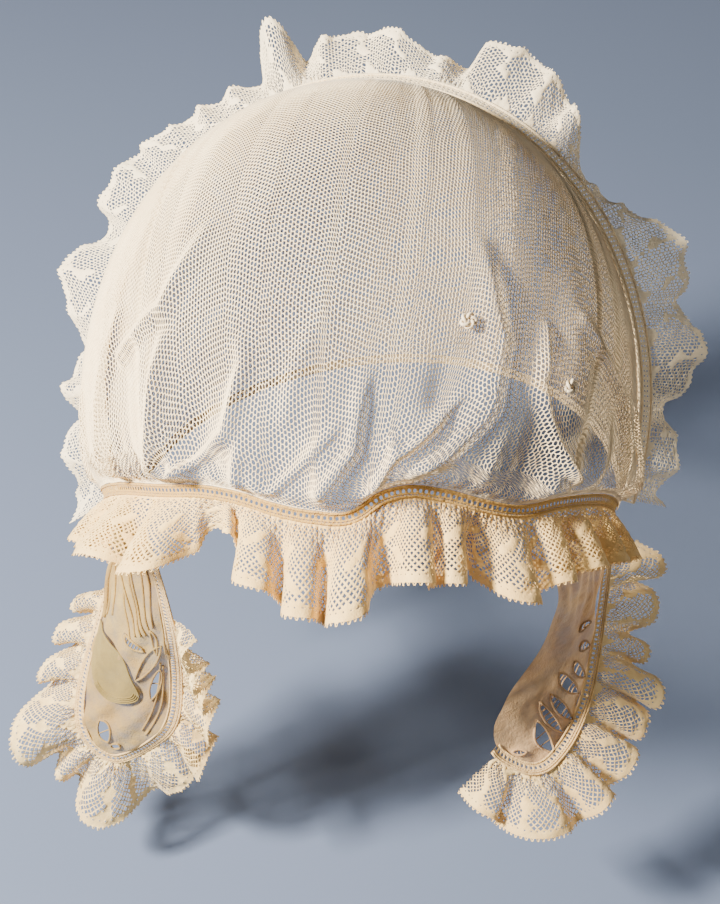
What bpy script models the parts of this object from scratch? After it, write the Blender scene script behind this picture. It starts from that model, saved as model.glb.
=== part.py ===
"""A lace cap in its worn form: a net crown of two panels, beading bands, ruffled lace, two lappets.

The cap is modelled in its own frame, X to the right, Y to the back and Z up, with the origin
inside the top of the crown, where a head would carry it.  Sizes in the tables are millimetres;
meshes are made in metres.
"""
import bpy
import numpy as np

MM = 0.001

# The dome: an ellipsoid that both net panels lie on.
HALF = np.array([83.0, 100.0, 90.0])        # half width, half length, half height
CENTRE = np.array([0.0, 0.0, -HALF[2]])     # the origin is at the inside of its top
LEAN = np.radians(45.0)                     # how far the worn cap leans back
FRONT_AT = -36.0                            # front edge: distance from the centre along the lean
SEAM_AT = -8.0                              # crown seam: distance behind the widest section
SEAM_SKEW = 0.20                            # the seam sits further forward on the right
TOP_HALF_ANGLE = np.radians(62.0)           # where the crown seam turns from top to side
NAPE = np.array([0.0, 86.0, -54.0])         # lowest point of the back, from the dome's centre

WALL = 1.0                                  # cloth thickness
GAP = 0.3                                   # gap between neighbouring pieces
FRONT_BAND_WIDE = 4.2
CROWN_BAND_WIDE = 5.0
CROWN_BAND_RISE = np.radians(38.0)          # the crown band stands off the dome at this angle
CROWN_BAND_HIGH = WALL + 0.75               # and its foot is this far above the net's inside
LAPPET_BAND_WIDE = 4.2
HEM_WIDE = 4.5
FRONT_FRILL_DEEP = 25.0
CROWN_FRILL_DEEP = 24.0
LAPPET_FRILL_DEEP = 21.0
FRONT_FRILL_RISE = (50.0, 32.0, 46.0)       # degrees, at the left end, the middle and the right end
CROWN_FRILL_RISE = (62.0, 60.0, 50.0)       # the same for the crown frill
FRONT_FRILL_DROOP = 2.0                     # how far a frill's free edge sinks under its weight
LAPPET_FRILL_DROOP = 4.0
BACK_INSET = 0.004                          # the back net starts and ends this share inside its edges
DENSE = 1500                                # points in a curve that is read by its length

# Columns and rows of each cloth's mesh, and the share of its seam that a band or frill covers.
GRIDS = {
    "crown_net": (40, 13),
    "back_net": (30, 7),
    "nape_hem": (32, 1),
    "front_band": (40, 1),
    "crown_band": (44, 1),
    "crown_frill": (118, 2),
    "lappet": (14, 7),
    "lappet_band": (36, 1),
}
PER_FLUTE = 6                               # columns to each flute of a fluted frill
BACK_SPAN = (0.02, 0.98)
HEM_SPAN = (0.03, 0.97)
FRONT_BAND_SPAN = (0.004, 0.996)
CROWN_BAND_SPAN = (0.01, 0.99)
FRILL_SPAN = (0.012, 0.988)

# Soft folds of the crown net above the front band.
# Each row: place along the front edge (0 left, 1 right), height, half width, share of the way up,
# and how far the fold drifts sideways on its way up.
PUFFS = np.array([
    # place, height, half width, reach, drift
    (0.060, 2.5, 0.030, 0.30, 0.00),
    (0.130, 4.0, 0.032, 0.45, 0.01),
    (0.210, 7.0, 0.030, 0.62, 0.02),
    (0.280, 5.0, 0.024, 0.36, 0.02),
    (0.370, 6.0, 0.028, 0.50, 0.03),
    (0.460, 4.0, 0.026, 0.28, 0.00),
    (0.530, 4.0, 0.026, 0.32, -0.01),
    (0.595, 6.0, 0.022, 0.36, -0.01),
    (0.660, 4.0, 0.022, 0.26, 0.00),
    (0.735, 7.0, 0.024, 0.52, -0.02),
    (0.795, 5.0, 0.020, 0.30, -0.01),
    (0.870, 6.0, 0.026, 0.45, -0.02),
    (0.940, 4.0, 0.028, 0.30, -0.01),
])
NET_LIFT = 2.5                              # fullness of the net just above the front band
NET_LIFT_AT, NET_LIFT_HALF = 0.10, 0.12     # how far up the panel it lies, and its half width

# Flutes of each frill, from its left end to its right end.
# Each row: width along the seam, crest height, depth against the frill's own, sideways lean.
FRONT_FLUTES = np.array([
    # width, crest, depth, lean
    (20.0, 4.0, 0.46, 0.0),
    (20.0, 5.0, 0.44, 0.0),
    (26.0, 8.0, 0.50, -1.0),
    (25.0, 10.0, 0.62, 0.0),
    (16.0, 9.0, 0.68, 3.0),
    (12.0, -6.0, 0.38, 0.0),
    (20.0, 8.0, 0.80, 2.0),
    (15.0, 9.0, 1.02, 0.0),
    (12.0, 9.0, 1.04, 0.0),
    (8.0, -5.0, 0.70, 0.0),
    (13.0, 8.0, 0.74, -1.0),
    (8.0, -6.0, 0.46, 0.0),
    (14.0, 8.0, 0.88, 1.0),
    (6.0, -3.0, 0.66, 0.0),
    (20.0, 9.0, 0.72, 2.0),
    (17.0, 8.0, 0.66, 1.0),
    (18.0, 6.0, 0.60, 1.0),
    (13.0, 4.0, 0.54, 0.0),
])
# The crown frill's free edge, from its left end to its right end, where it stands up in uneven folds.
# Each row: place along the seam, how far the fold stands forward, depth against the frill's own.
CROWN_FOLDS = np.array([
    # place, forward, depth
    (0.000, 3.0, 1.00),
    (0.014, 2.0, 1.02),
    (0.026, -2.0, 0.92),
    (0.042, 2.0, 0.63),
    (0.068, 5.0, 0.60),
    (0.089, -3.0, 0.55),
    (0.108, 4.0, 0.53),
    (0.142, -3.0, 0.56),
    (0.172, 3.0, 0.66),
    (0.191, 5.0, 0.86),
    (0.210, 5.0, 0.93),
    (0.235, -4.0, 0.86),
    (0.259, 3.0, 0.82),
    (0.279, 5.0, 0.77),
    (0.300, 2.0, 0.80),
    (0.322, 4.0, 0.60),
    (0.342, 1.0, 0.57),
    (0.361, 3.0, 0.44),
    (0.378, 1.0, 0.42),
    (0.393, 3.0, 0.42),
    (0.407, -3.0, 0.46),
    (0.417, 1.0, 0.92),
    (0.428, 7.0, 1.10),
    (0.438, 1.0, 0.84),
    (0.446, -4.0, 0.72),
    (0.462, 4.0, 0.60),
    (0.486, 1.0, 0.70),
    (0.512, 5.0, 0.58),
    (0.530, 5.0, 0.48),
    (0.545, -1.0, 0.44),
    (0.558, 2.0, 0.42),
    (0.570, -4.0, 0.62),
    (0.582, 3.0, 0.80),
    (0.596, 6.0, 0.84),
    (0.612, 3.0, 0.92),
    (0.630, 6.0, 0.78),
    (0.647, 2.0, 0.74),
    (0.666, 5.0, 0.50),
    (0.686, -5.0, 0.42),
    (0.712, -7.0, 0.42),
    (0.735, -3.0, 0.42),
    (0.752, 1.0, 0.46),
    (0.765, 3.0, 0.64),
    (0.781, 6.0, 0.73),
    (0.804, 3.0, 0.78),
    (0.829, -3.0, 0.78),
    (0.855, 5.0, 0.72),
    (0.881, 3.0, 0.64),
    (0.907, -4.0, 0.44),
    (0.931, 1.0, 0.42),
    (0.949, 4.0, 0.42),
    (0.975, -2.0, 0.48),
    (1.000, 3.0, 0.62),
])
LEFT_FLUTES = np.array([
    # width, crest, depth, lean
    (10.0, 4.0, 0.85, 2.0),
    (14.0, 5.0, 0.75, 3.0),
    (14.0, 5.0, 0.80, 3.0),
    (24.0, 8.0, 1.15, 5.0),
    (12.0, 5.0, 0.95, 0.0),
    (16.0, 6.0, 0.70, 2.0),
    (20.0, 6.0, 0.62, -1.0),
    (22.0, 6.0, 0.50, 2.0),
    (20.0, 4.0, 0.42, 1.0),
])
RIGHT_FLUTES = np.array([
    # width, crest, depth, lean
    (14.0, 7.0, 1.00, 0.0),
    (15.0, 6.0, 0.95, -2.0),
    (10.0, 4.0, 0.90, 0.0),
    (16.0, 9.0, 1.00, 2.0),
    (13.0, 5.0, 0.92, 0.0),
    (15.0, 6.0, 0.88, -2.0),
    (13.0, 5.0, 0.85, 1.0),
    (13.0, 5.0, 0.80, -1.0),
    (12.0, 4.0, 0.66, 0.0),
])
TROUGH = 2.5                                # how far the troughs between flutes dip
CURL = np.radians(6.0)                      # how far a frill bends down towards its free edge
TROUGH_DEEP = 0.93                          # depth of a frill at its troughs, against the crests
FLUTE_SHIFT = 0.07                          # sideways sway of a flute, against its width

# Sections of the two lappets from the front band down, measured from the dome's centre.
# Each row: share of the length, outer edge x y z, inner edge x y z, outward bow.
LEFT_LAPPET = np.array([
    # share, outer x, y, z, inner x, y, z, bow
    (0.00, -71.0, -22.0, -42.0, -50.0, -72.0, 0.0, 3.0),
    (0.30, -80.4, -38.3, -61.9, -55.6, -64.9, -35.1, 2.0),
    (0.60, -86.5, -48.0, -84.5, -56.8, -58.8, -67.2, 2.0),
    (0.82, -88.5, -53.0, -99.0, -58.1, -60.8, -87.3, 2.0),
    (1.00, -88.0, -53.4, -108.4, -65.3, -57.7, -101.7, 2.0),
])
RIGHT_LAPPET = np.array([
    # share, outer x, y, z, inner x, y, z, bow
    (0.00, 73.0, -32.0, -30.0, 54.0, -70.0, 0.0, 3.0),
    (0.30, 73.9, -34.0, -57.2, 59.1, -59.5, -34.4, 2.0),
    (0.60, 70.1, -49.8, -77.6, 44.7, -67.1, -66.4, 2.0),
    (0.82, 66.5, -59.5, -88.3, 40.1, -70.5, -82.0, 2.0),
    (1.00, 65.2, -66.0, -92.5, 44.0, -74.0, -90.5, 2.0),
])
# Side, sections, end of the front band, flutes and rise in degrees of the ruffle, and where round
# the outline the lappet's band and its ruffle end.
LAPPETS = (
    ("left", LEFT_LAPPET, 0, LEFT_FLUTES, (16.0, 14.0, 35.0), 0.95, 0.80),
    ("right", RIGHT_LAPPET, 1, RIGHT_FLUTES, (38.0, 32.0, 12.0), 0.50, 0.49),
)
ROUND_FROM = 0.60                           # the lappets' ends are round from here down
LAPPET_TOP = 0.25                           # share of the front band that carries each lappet
LAPPET_GAP = 0.012                          # share of the front band left free before the lappet
TOP_FADE = 0.4                              # the gathered top eases into the sections by here
PLEATS, PLEAT_HIGH = 6, 1.2                 # pleats gathered into a lappet's top
PLEAT_FROM, PLEAT_FADE, PLEAT_EDGE = 0.08, 0.22, 0.1
STRAIGHT_SHARE = 0.36                       # share of the outline that each long side takes
LAPPET_BAND_FROM = 0.03                     # where round the outline they start
LAPPET_FRILL_FROM = 0.12

# Little thread knots on the net: place along the panel, up the panel, and size.
KNOTS = ((0.61, 0.34, 4.6), (0.71, 0.27, 4.2))
KNOT_SHAPE = np.array([1.0, 0.8, 0.44])     # length, width and height of a knot, against its size

COLOURS = {
    "net": (0.74, 0.66, 0.51),
    "band": (0.66, 0.50, 0.31),
    "frill": (0.80, 0.72, 0.57),
    "lappet": (0.62, 0.49, 0.33),
    "knot": (0.82, 0.76, 0.63),
}


def unit(v):
    return v / np.maximum(np.linalg.norm(v, axis=-1, keepdims=True), 1e-12)


def plane_cut(normal, offset, start):
    """The dome's cut by a plane, on the unit ball, as a function of the angle from start."""
    w = normal * HALF
    size = np.linalg.norm(w)
    w = w / size
    centre = w * offset / size
    radius = np.sqrt(1 - (offset / size) ** 2)
    first = unit(start / HALF - w * np.dot(start / HALF, w))
    second = np.cross(w, first)
    second = second * np.sign(second[0])

    def at(angle):
        c, s = np.cos(angle)[..., None], np.sin(angle)[..., None]
        return centre + radius * (c * first + s * second)
    return at


class Line:
    """A curve read by its share of length, from 0 to 1."""

    def __init__(self, points, scale):
        self.points = points
        step = np.linalg.norm(np.diff(points * scale, axis=0), axis=1)
        along = np.concatenate([[0.0], np.cumsum(step)])
        self.length = along[-1]
        self.along = along / self.length

    def __call__(self, share):
        share = np.asarray(share, float)
        return np.stack([np.interp(share, self.along, self.points[:, k]) for k in range(3)], -1)


def crossing(cut, level, end):
    """The angle, from 0 towards end, where a cut meets another plane."""
    angle = np.linspace(0.0, end, 4001)
    value = level(cut(angle) * HALF)
    k = int(np.nonzero(np.diff(np.sign(value)))[0][0])
    return angle[k] - value[k] * (angle[k + 1] - angle[k]) / (value[k + 1] - value[k])


def arc(cut, start, end):
    return Line(cut(np.linspace(start, end, DENSE)), HALF)


UP_BACK = np.array([0.0, np.cos(LEAN), np.sin(LEAN)])
FORWARD = np.array([0.0, -np.sin(LEAN), np.cos(LEAN)])
SEAM_NORMAL = FORWARD - np.array([SEAM_SKEW, 0.0, 0.0])
front_cut = plane_cut(UP_BACK, FRONT_AT, FORWARD * 100)
seam_cut = plane_cut(SEAM_NORMAL, SEAM_AT, UP_BACK * 100)


def to_seam(p):
    return p @ SEAM_NORMAL - SEAM_AT


def to_front(p):
    return p @ UP_BACK - FRONT_AT


FRONT = arc(front_cut, crossing(front_cut, to_seam, -np.pi), crossing(front_cut, to_seam, np.pi))
SEAM_ENDS = [crossing(seam_cut, to_front, s * np.pi) for s in (-1, 1)]
SEAM = arc(seam_cut, SEAM_ENDS[0], SEAM_ENDS[1])
TOP = arc(seam_cut, -TOP_HALF_ANGLE, TOP_HALF_ANGLE)
LEFT = arc(seam_cut, SEAM_ENDS[0], -TOP_HALF_ANGLE)
RIGHT = arc(seam_cut, SEAM_ENDS[1], TOP_HALF_ANGLE)


def nape_line():
    """The back's lower edge, from the left ear round the nape to the right ear."""
    left, right = SEAM(0.0) * HALF, SEAM(1.0) * HALF
    normal = unit(np.cross(right - left, NAPE - left))
    cut = plane_cut(normal, float(normal @ left), NAPE)
    angle = np.linspace(-np.pi, np.pi, 7201)
    ends = [angle[np.argmin(np.linalg.norm(cut(angle) * HALF - p, axis=1))] for p in (left, right)]
    return arc(cut, ends[0], ends[1])


NAPE_EDGE = nape_line()


def puff(u, v):
    """How far the net stands off the dome: gathered folds that fade up the panel."""
    lift = NET_LIFT * np.exp(-((v - NET_LIFT_AT) / NET_LIFT_HALF) ** 2)
    for place, height, half, reach, drift in PUFFS:
        rise = np.clip(v / reach, 0.0, 1.0)
        ridge = np.exp(-((u - place - drift * rise) / half) ** 2)
        lift = lift + height * ridge * (1 - rise) ** 1.2 * np.clip(v / 0.05, 0.0, 1.0)
    return lift * np.clip(v / 0.03, 0.0, 1.0)


def net_panel(u, v):
    """The front panel of the crown: u from left to right, v from the front edge to the seam."""
    a, b = u[..., None], v[..., None]
    low, high, left, right = FRONT(u), TOP(u), LEFT(v), RIGHT(v)
    edge = (1 - b) * low + b * high + (1 - a) * left + a * right
    corner = ((1 - a) * ((1 - b) * FRONT(0.0) + b * TOP(0.0))
              + a * ((1 - b) * FRONT(1.0) + b * TOP(1.0)))
    on_dome = unit(edge - corner) * HALF
    return on_dome + unit(on_dome / HALF ** 2) * puff(u, v)[..., None]


def back_panel(u, v):
    """The back of the cap: u from left to right, v from the crown seam down to the nape."""
    b = BACK_INSET + (1 - 2 * BACK_INSET) * v[..., None]
    return unit((1 - b) * SEAM(u) + b * NAPE_EDGE(u)) * HALF


class Edge:
    """A seam with a frame at every place: along it, out of the cloth, and away from the cloth."""

    def __init__(self, place, normal, side):
        self.place, self.normal, self.side = place, normal, side

    def frame(self, s):
        step = 0.002
        at = self.place(s)
        along = unit(self.place(np.clip(s + step, 0, 1)) - self.place(np.clip(s - step, 0, 1)))
        out = self.normal(s)
        away = unit(np.cross(along, out)) * self.side
        return at, along, out, away


def dome_edge(line, side):
    def place(s):
        return line(s) * HALF

    def normal(s):
        return unit(place(s) / HALF ** 2)
    return Edge(place, normal, side)


FRONT_EDGE = dome_edge(FRONT, 1.0)
CROWN_EDGE = dome_edge(SEAM, -1.0)
HEM_EDGE = dome_edge(NAPE_EDGE, -1.0)


def band_at(edge, rise, start, high, width):
    """A flat band along an edge, leaving it at an angle above the cloth."""
    def at(u, v):
        place, along, out, away = edge.frame(u)
        way = np.cos(rise) * away + np.sin(rise) * out
        return place + away * start + out * high + way * (v * width)[..., None]
    return at


def flutes(table, s):
    """Crest height, sideways shift, and depth of a gathered frill at each place."""
    ends = np.concatenate([[0.0], np.cumsum(table[:, 0])])
    ends = ends / ends[-1]
    k = np.clip(np.searchsorted(ends, s, side="right") - 1, 0, len(table) - 1)
    local = (s - ends[k]) / (ends[k + 1] - ends[k])
    phase = 2 * np.pi * local
    crest = (1 - np.cos(phase)) / 2
    width, high, deep, lean = table[k].T
    crests = table[:, 2]
    troughs = TROUGH_DEEP * np.concatenate([crests[:1], (crests[1:] + crests[:-1]) / 2, crests[-1:]])
    low = np.where(local < 0.5, troughs[k], troughs[k + 1])
    out = (high + TROUGH) * crest - TROUGH
    shift = lean * crest + FLUTE_SHIFT * width * np.sin(2 * phase)
    return out, shift, low + (deep - low) * crest


def uneven(table, s):
    """The same three values for a frill whose folds are placed one by one."""
    out, deep = through(table, s).T
    return out, np.zeros_like(s), deep


def frill_at(edge, folds, table, deep_mm, start, high, rise, droop):
    """A ruffle along an edge: v runs from the gathers to the free edge."""
    def at(u, v):
        place, along, out, away = edge.frame(u)
        crest, shift, deep = folds(table, u)
        angle = np.interp(u, (0.0, 0.5, 1.0), rise) - CURL * v
        c, s = np.cos(angle)[..., None], np.sin(angle)[..., None]
        way, cross = c * away + s * out, c * out - s * away
        reach = (deep_mm * deep * v)[..., None]
        fan = (v ** 0.9)[..., None]
        base = place + away * start + out * high
        fall = np.array([0.0, 0.0, -1.0]) * (droop * v ** 2)[..., None]
        return base + way * reach + fan * (crest[..., None] * cross + shift[..., None] * along) + fall
    return at


def through(table, t):
    """Smooth values between the rows of a table whose first column is the place."""
    knots, rows = table[:, 0], table[:, 1:]
    slope = np.gradient(rows, knots, axis=0)
    k = np.clip(np.searchsorted(knots, t, side="right") - 1, 0, len(knots) - 2)
    h = knots[k + 1] - knots[k]
    x = ((t - knots[k]) / h)[..., None]
    h = h[..., None]
    return ((1 + 2 * x) * (1 - x) ** 2 * rows[k] + x * (1 - x) ** 2 * h * slope[k]
            + x ** 2 * (3 - 2 * x) * rows[k + 1] + x ** 2 * (x - 1) * h * slope[k + 1])


class Lappet:
    """A hanging lappet: p from -1, its outer edge, to 1, its inner edge, and t down its length."""

    def __init__(self, table, from_end):
        self.table, self.side = table, -1.0 if from_end == 0 else 1.0
        self.from_end = from_end

    def top(self, p):
        """The line just under the front band that the lappet hangs from."""
        share = LAPPET_GAP + (LAPPET_TOP - LAPPET_GAP) * (p + 1) / 2
        s = share if self.from_end == 0 else 1 - share
        place, along, out, away = FRONT_EDGE.frame(s)
        return place + away * (FRONT_BAND_WIDE + 3 * GAP) - out * (WALL / 2 + GAP)

    def chord(self, p, t):
        e = 0.01
        row = through(self.table, t)
        ahead = through(self.table, np.clip(t + e, 0, 1)) - through(self.table, np.clip(t - e, 0, 1))
        outer, inner, bow = row[..., 0:3], row[..., 3:6], row[..., 6:7]
        down = ahead[..., 0:3] + ahead[..., 3:6]
        out = unit(np.cross(inner - outer, down)) * self.side
        q = p[..., None]
        return (outer + inner) / 2 + (inner - outer) / 2 * q + out * bow * (1 - q ** 2)

    def place(self, p, t):
        p, t = np.broadcast_arrays(np.asarray(p, float), np.asarray(t, float))
        fade = np.clip(1 - t / TOP_FADE, 0.0, 1.0)[..., None] ** 2
        top = self.top(np.clip(p, -1, 1))
        body = self.chord(p, t) + fade * (top - self.chord(p, np.zeros_like(t)))
        ripple = PLEAT_HIGH * np.sin(p * np.pi * PLEATS) * np.exp(-(t / PLEAT_FADE) ** 2)
        ripple = ripple * np.clip(t / PLEAT_FROM, 0, 1) * np.clip((1 - np.abs(p)) / PLEAT_EDGE, 0, 1)
        return body + self.normal_of(body, p, t) * ripple[..., None]

    def normal_of(self, body, p, t):
        e = 0.01
        across = self.chord(p + e, t) - self.chord(p - e, t)
        down = self.chord(p, np.clip(t + e, 0, 1)) - self.chord(p, np.clip(t - e, 0, 1))
        return unit(np.cross(across, down)) * self.side

    def outline(self, s):
        """The U of the lappet's edge, from its outer top round the end to its inner top."""
        side = STRAIGHT_SHARE
        first = np.clip(s / side, 0, 1) * ROUND_FROM
        last = np.clip((1 - s) / side, 0, 1) * ROUND_FROM
        angle = np.clip((s - side) / (1 - 2 * side), 0, 1) * np.pi
        p = -np.cos(angle)
        t = np.where(s < side, first, np.where(s > 1 - side, last, ROUND_FROM))
        return p, t + (1 - ROUND_FROM) * np.sin(angle)

    def end_of(self, p):
        """How far down the cloth reaches at each place across."""
        return ROUND_FROM + (1 - ROUND_FROM) * np.sqrt(np.clip(1 - p ** 2, 0, 1))

    def panel(self, u, v):
        p = -np.cos(np.pi * u)
        return self.place(p, v * self.end_of(p))

    def edge(self, first, last):
        """The lappet's edge between two shares of its length round the outline."""
        share = np.linspace(0, 1, DENSE // 3)
        walk = np.cumsum(np.linalg.norm(np.diff(self.place(*self.outline(share)), axis=0), axis=1))
        walk = np.concatenate([[0.0], walk / walk[-1]])

        def on(s):
            return self.outline(np.interp(first + (last - first) * s, walk, share))

        def place(s):
            return self.place(*on(s))

        def normal(s):
            return self.normal_of(None, *on(s))
        return Edge(place, normal, -self.side)


def material(name, colour, roughness):
    m = bpy.data.materials.new(name)
    m.use_nodes = True
    shader = m.node_tree.nodes["Principled BSDF"]
    shader.inputs["Base Color"].default_value = (*colour, 1.0)
    shader.inputs["Roughness"].default_value = roughness
    shader.inputs["Metallic"].default_value = 0.0
    return m


def cloth(name, at, grid, colour, span=(0.0, 1.0), grow=0.0):
    """A wall of cloth: a grid laid over a surface, then given its thickness.

    With grow at 1 the surface is the wall's inside, and with 0 it is the wall's middle.
    """
    columns, rows = grid
    bpy.ops.mesh.primitive_grid_add(x_subdivisions=columns, y_subdivisions=rows, size=1.0)
    piece = bpy.context.object
    piece.name = piece.data.name = name
    flat = np.array([v.co[:] for v in piece.data.vertices])
    u = span[0] + (span[1] - span[0]) * (flat[:, 0] + 0.5)
    points = (at(u, flat[:, 1] + 0.5) + CENTRE) * MM
    piece.data.vertices.foreach_set("co", points.ravel())
    piece.data.update()
    shell = piece.modifiers.new("wall", "SOLIDIFY")
    shell.thickness = WALL * MM
    shell.offset = grow
    piece.data.materials.append(material(name, colour, 0.85))
    piece.data.shade_smooth()
    return piece


def thread_knot(name, place, up, size):
    """A small twisted knot of thread that lies on the net."""
    u, v = np.array([place]), np.array([up])
    on = net_panel(u, v)[0]
    out = unit(on / HALF ** 2)
    centre = (on + CENTRE + out * (WALL + GAP + KNOT_SHAPE[2] * size / 2)) * MM
    bpy.ops.mesh.primitive_uv_sphere_add(segments=10, ring_count=6, radius=size / 2 * MM)
    knot = bpy.context.object
    knot.name = knot.data.name = name
    squash = np.array([v.co[:] for v in knot.data.vertices]) * KNOT_SHAPE
    side = unit(np.cross(out, (0.0, 0.0, 1.0)))
    turn = np.stack([side, np.cross(out, side), out])
    knot.data.vertices.foreach_set("co", (squash @ turn + centre).ravel())
    knot.data.update()
    knot.data.shade_smooth()
    knot.data.materials.append(material(name, COLOURS["knot"], 0.8))
    return knot


def crown():
    """The two net panels, the bands that join and edge them, and the nape hem."""
    cloth("crown_net", net_panel, GRIDS["crown_net"], COLOURS["net"], grow=1.0)
    cloth("back_net", back_panel, GRIDS["back_net"], COLOURS["net"], BACK_SPAN, grow=1.0)
    hem = band_at(HEM_EDGE, 0.0, GAP, 0.0, HEM_WIDE)
    cloth("nape_hem", hem, GRIDS["nape_hem"], COLOURS["band"], HEM_SPAN, grow=1.0)
    front = band_at(FRONT_EDGE, 0.0, GAP, 0.0, FRONT_BAND_WIDE)
    cloth("front_band", front, GRIDS["front_band"], COLOURS["band"], FRONT_BAND_SPAN, grow=1.0)
    stand = band_at(CROWN_EDGE, CROWN_BAND_RISE, 2 * GAP, CROWN_BAND_HIGH, CROWN_BAND_WIDE)
    cloth("crown_band", stand, GRIDS["crown_band"], COLOURS["band"], CROWN_BAND_SPAN)


def frills():
    """The ruffles along the front band and the crown band."""
    front = frill_at(FRONT_EDGE, flutes, FRONT_FLUTES, FRONT_FRILL_DEEP, FRONT_BAND_WIDE + 2 * GAP,
                     WALL / 2, np.radians(FRONT_FRILL_RISE), FRONT_FRILL_DROOP)
    cloth("front_frill", front, (PER_FLUTE * len(FRONT_FLUTES), 2), COLOURS["frill"], FRILL_SPAN)
    far = CROWN_BAND_WIDE + 2 * GAP
    start = 2 * GAP + far * np.cos(CROWN_BAND_RISE)
    high = CROWN_BAND_HIGH + far * np.sin(CROWN_BAND_RISE)
    crown_frill = frill_at(CROWN_EDGE, uneven, CROWN_FOLDS, CROWN_FRILL_DEEP, start, high,
                           np.radians(CROWN_FRILL_RISE), 0.0)
    cloth("crown_frill", crown_frill, GRIDS["crown_frill"], COLOURS["frill"], FRILL_SPAN)


def lappets():
    """Each lappet with its band and its ruffle."""
    for side, table, end, folds, rise, band_end, frill_end in LAPPETS:
        one = Lappet(table, end)
        cloth(f"lappet_{side}", one.panel, GRIDS["lappet"], COLOURS["lappet"])
        band = band_at(one.edge(LAPPET_BAND_FROM, band_end), 0.0, 3 * GAP, 0.0, LAPPET_BAND_WIDE)
        cloth(f"lappet_band_{side}", band, GRIDS["lappet_band"], COLOURS["band"])
        rim = one.edge(LAPPET_FRILL_FROM, frill_end)
        ruffle = frill_at(rim, flutes, folds, LAPPET_FRILL_DEEP, LAPPET_BAND_WIDE + 5 * GAP, 0.0,
                          np.radians(rise), LAPPET_FRILL_DROOP)
        cloth(f"lappet_frill_{side}", ruffle, (PER_FLUTE * len(folds), 2), COLOURS["frill"])


def main():
    for old in list(bpy.data.objects):
        bpy.data.objects.remove(old, do_unlink=True)
    crown()
    frills()
    lappets()
    for k, (place, up, size) in enumerate(KNOTS, 1):
        thread_knot(f"thread_knot_{k}", place, up, size)
    group = bpy.data.collections.new("lace_cap")
    bpy.context.scene.collection.children.link(group)
    for piece in list(bpy.data.objects):
        for home in list(piece.users_collection):
            home.objects.unlink(piece)
        group.objects.link(piece)


main()
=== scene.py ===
import bpy
import numpy as np
from mathutils import Matrix, Vector, geometry


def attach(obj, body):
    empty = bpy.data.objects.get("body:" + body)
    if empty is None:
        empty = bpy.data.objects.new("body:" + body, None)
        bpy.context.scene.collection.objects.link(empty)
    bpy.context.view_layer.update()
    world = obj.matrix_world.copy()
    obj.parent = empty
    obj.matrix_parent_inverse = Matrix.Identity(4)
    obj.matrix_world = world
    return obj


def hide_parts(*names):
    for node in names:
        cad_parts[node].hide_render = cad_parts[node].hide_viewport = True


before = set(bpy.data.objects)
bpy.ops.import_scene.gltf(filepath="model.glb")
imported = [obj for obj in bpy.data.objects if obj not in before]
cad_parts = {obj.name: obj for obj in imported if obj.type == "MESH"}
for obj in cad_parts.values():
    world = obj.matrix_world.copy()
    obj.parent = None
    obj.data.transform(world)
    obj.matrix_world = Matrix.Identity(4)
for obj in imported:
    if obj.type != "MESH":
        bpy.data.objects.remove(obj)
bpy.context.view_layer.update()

MM = 0.001

# ---- sizes of the cap

HALF = np.array([83.0, 100.0, 90.0])     # the dome: half width, half length, half height
CENTRE = np.array([0.0, 0.0, -HALF[2]])  # the origin is at the inside of its top
LEAN = np.radians(45.0)                  # how far the worn cap leans back
FRONT_AT = -36.0                         # front edge: distance from the centre along the lean
SEAM_AT = -8.0                           # crown seam: distance behind the widest section
SEAM_SKEW = 0.20                         # the seam sits further forward on the right
TOP_HALF_ANGLE = np.radians(62.0)        # where the crown seam turns from top to side
NAPE = np.array([0.0, 86.0, -54.0])      # lowest point of the back

WALL = 1.0                             # room that the cloth takes
GAP = 0.3                              # room for a seam
FRONT_BAND_WIDE = 3.7
CROWN_BAND_WIDE = 5.0
CROWN_BAND_OFF = 0.75                  # how far its seam stands off the net
CROWN_BAND_RISE = np.radians(38.0)     # the crown band stands off the dome at this angle
LAPPET_BAND_WIDE = 4.2
FRONT_FRILL_RISE = (50.0, 32.0, 46.0)  # degrees, at the left end, the middle and the right end
CROWN_FRILL_RISE = (62.0, 60.0, 50.0)
FRONT_FRILL_DEEP = 25.0
CROWN_FRILL_DEEP = 24.0
LAPPET_FRILL_DEEP = 21.0
DENSE = 1500                           # points in a curve that is read by its length

NET_CELL = (1.02, 1.55)            # distance between net cells, across and along
NET_HOLE = np.array((0.73, 0.83))  # share of a net cell that is open
NET_BRIDGE = 0.78                  # the side that two cells in a column share, against the distance across
BACK_CELL = (1.3, 1.85)            # the same for the back of the crown, of finer thread
BACK_HOLE = np.array((0.80, 0.86))
MESH_CELL = (0.95, 1.9)            # the ruffles' square mesh, set on its corner
CROWN_CELL = (1.12, 1.7)           # the crown ruffle's mesh has six sides
PIN_HOLE = 0.42                    # share of a pinhole's cell that is open
PICOT_PERIOD = 1.45                # distance between the loops of a ruffle's free edge
THREAD_HIGH = 0.22                 # how far a thread's back stands above the cloth
RIM, BAR = 0.38, 0.22              # radii of the thread round a slot and of the bars across it
CLOTH_STEP = 1.25                  # distance between points in closed work
NUDGE = 0.05                       # length over which a surface's slope is felt

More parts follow.
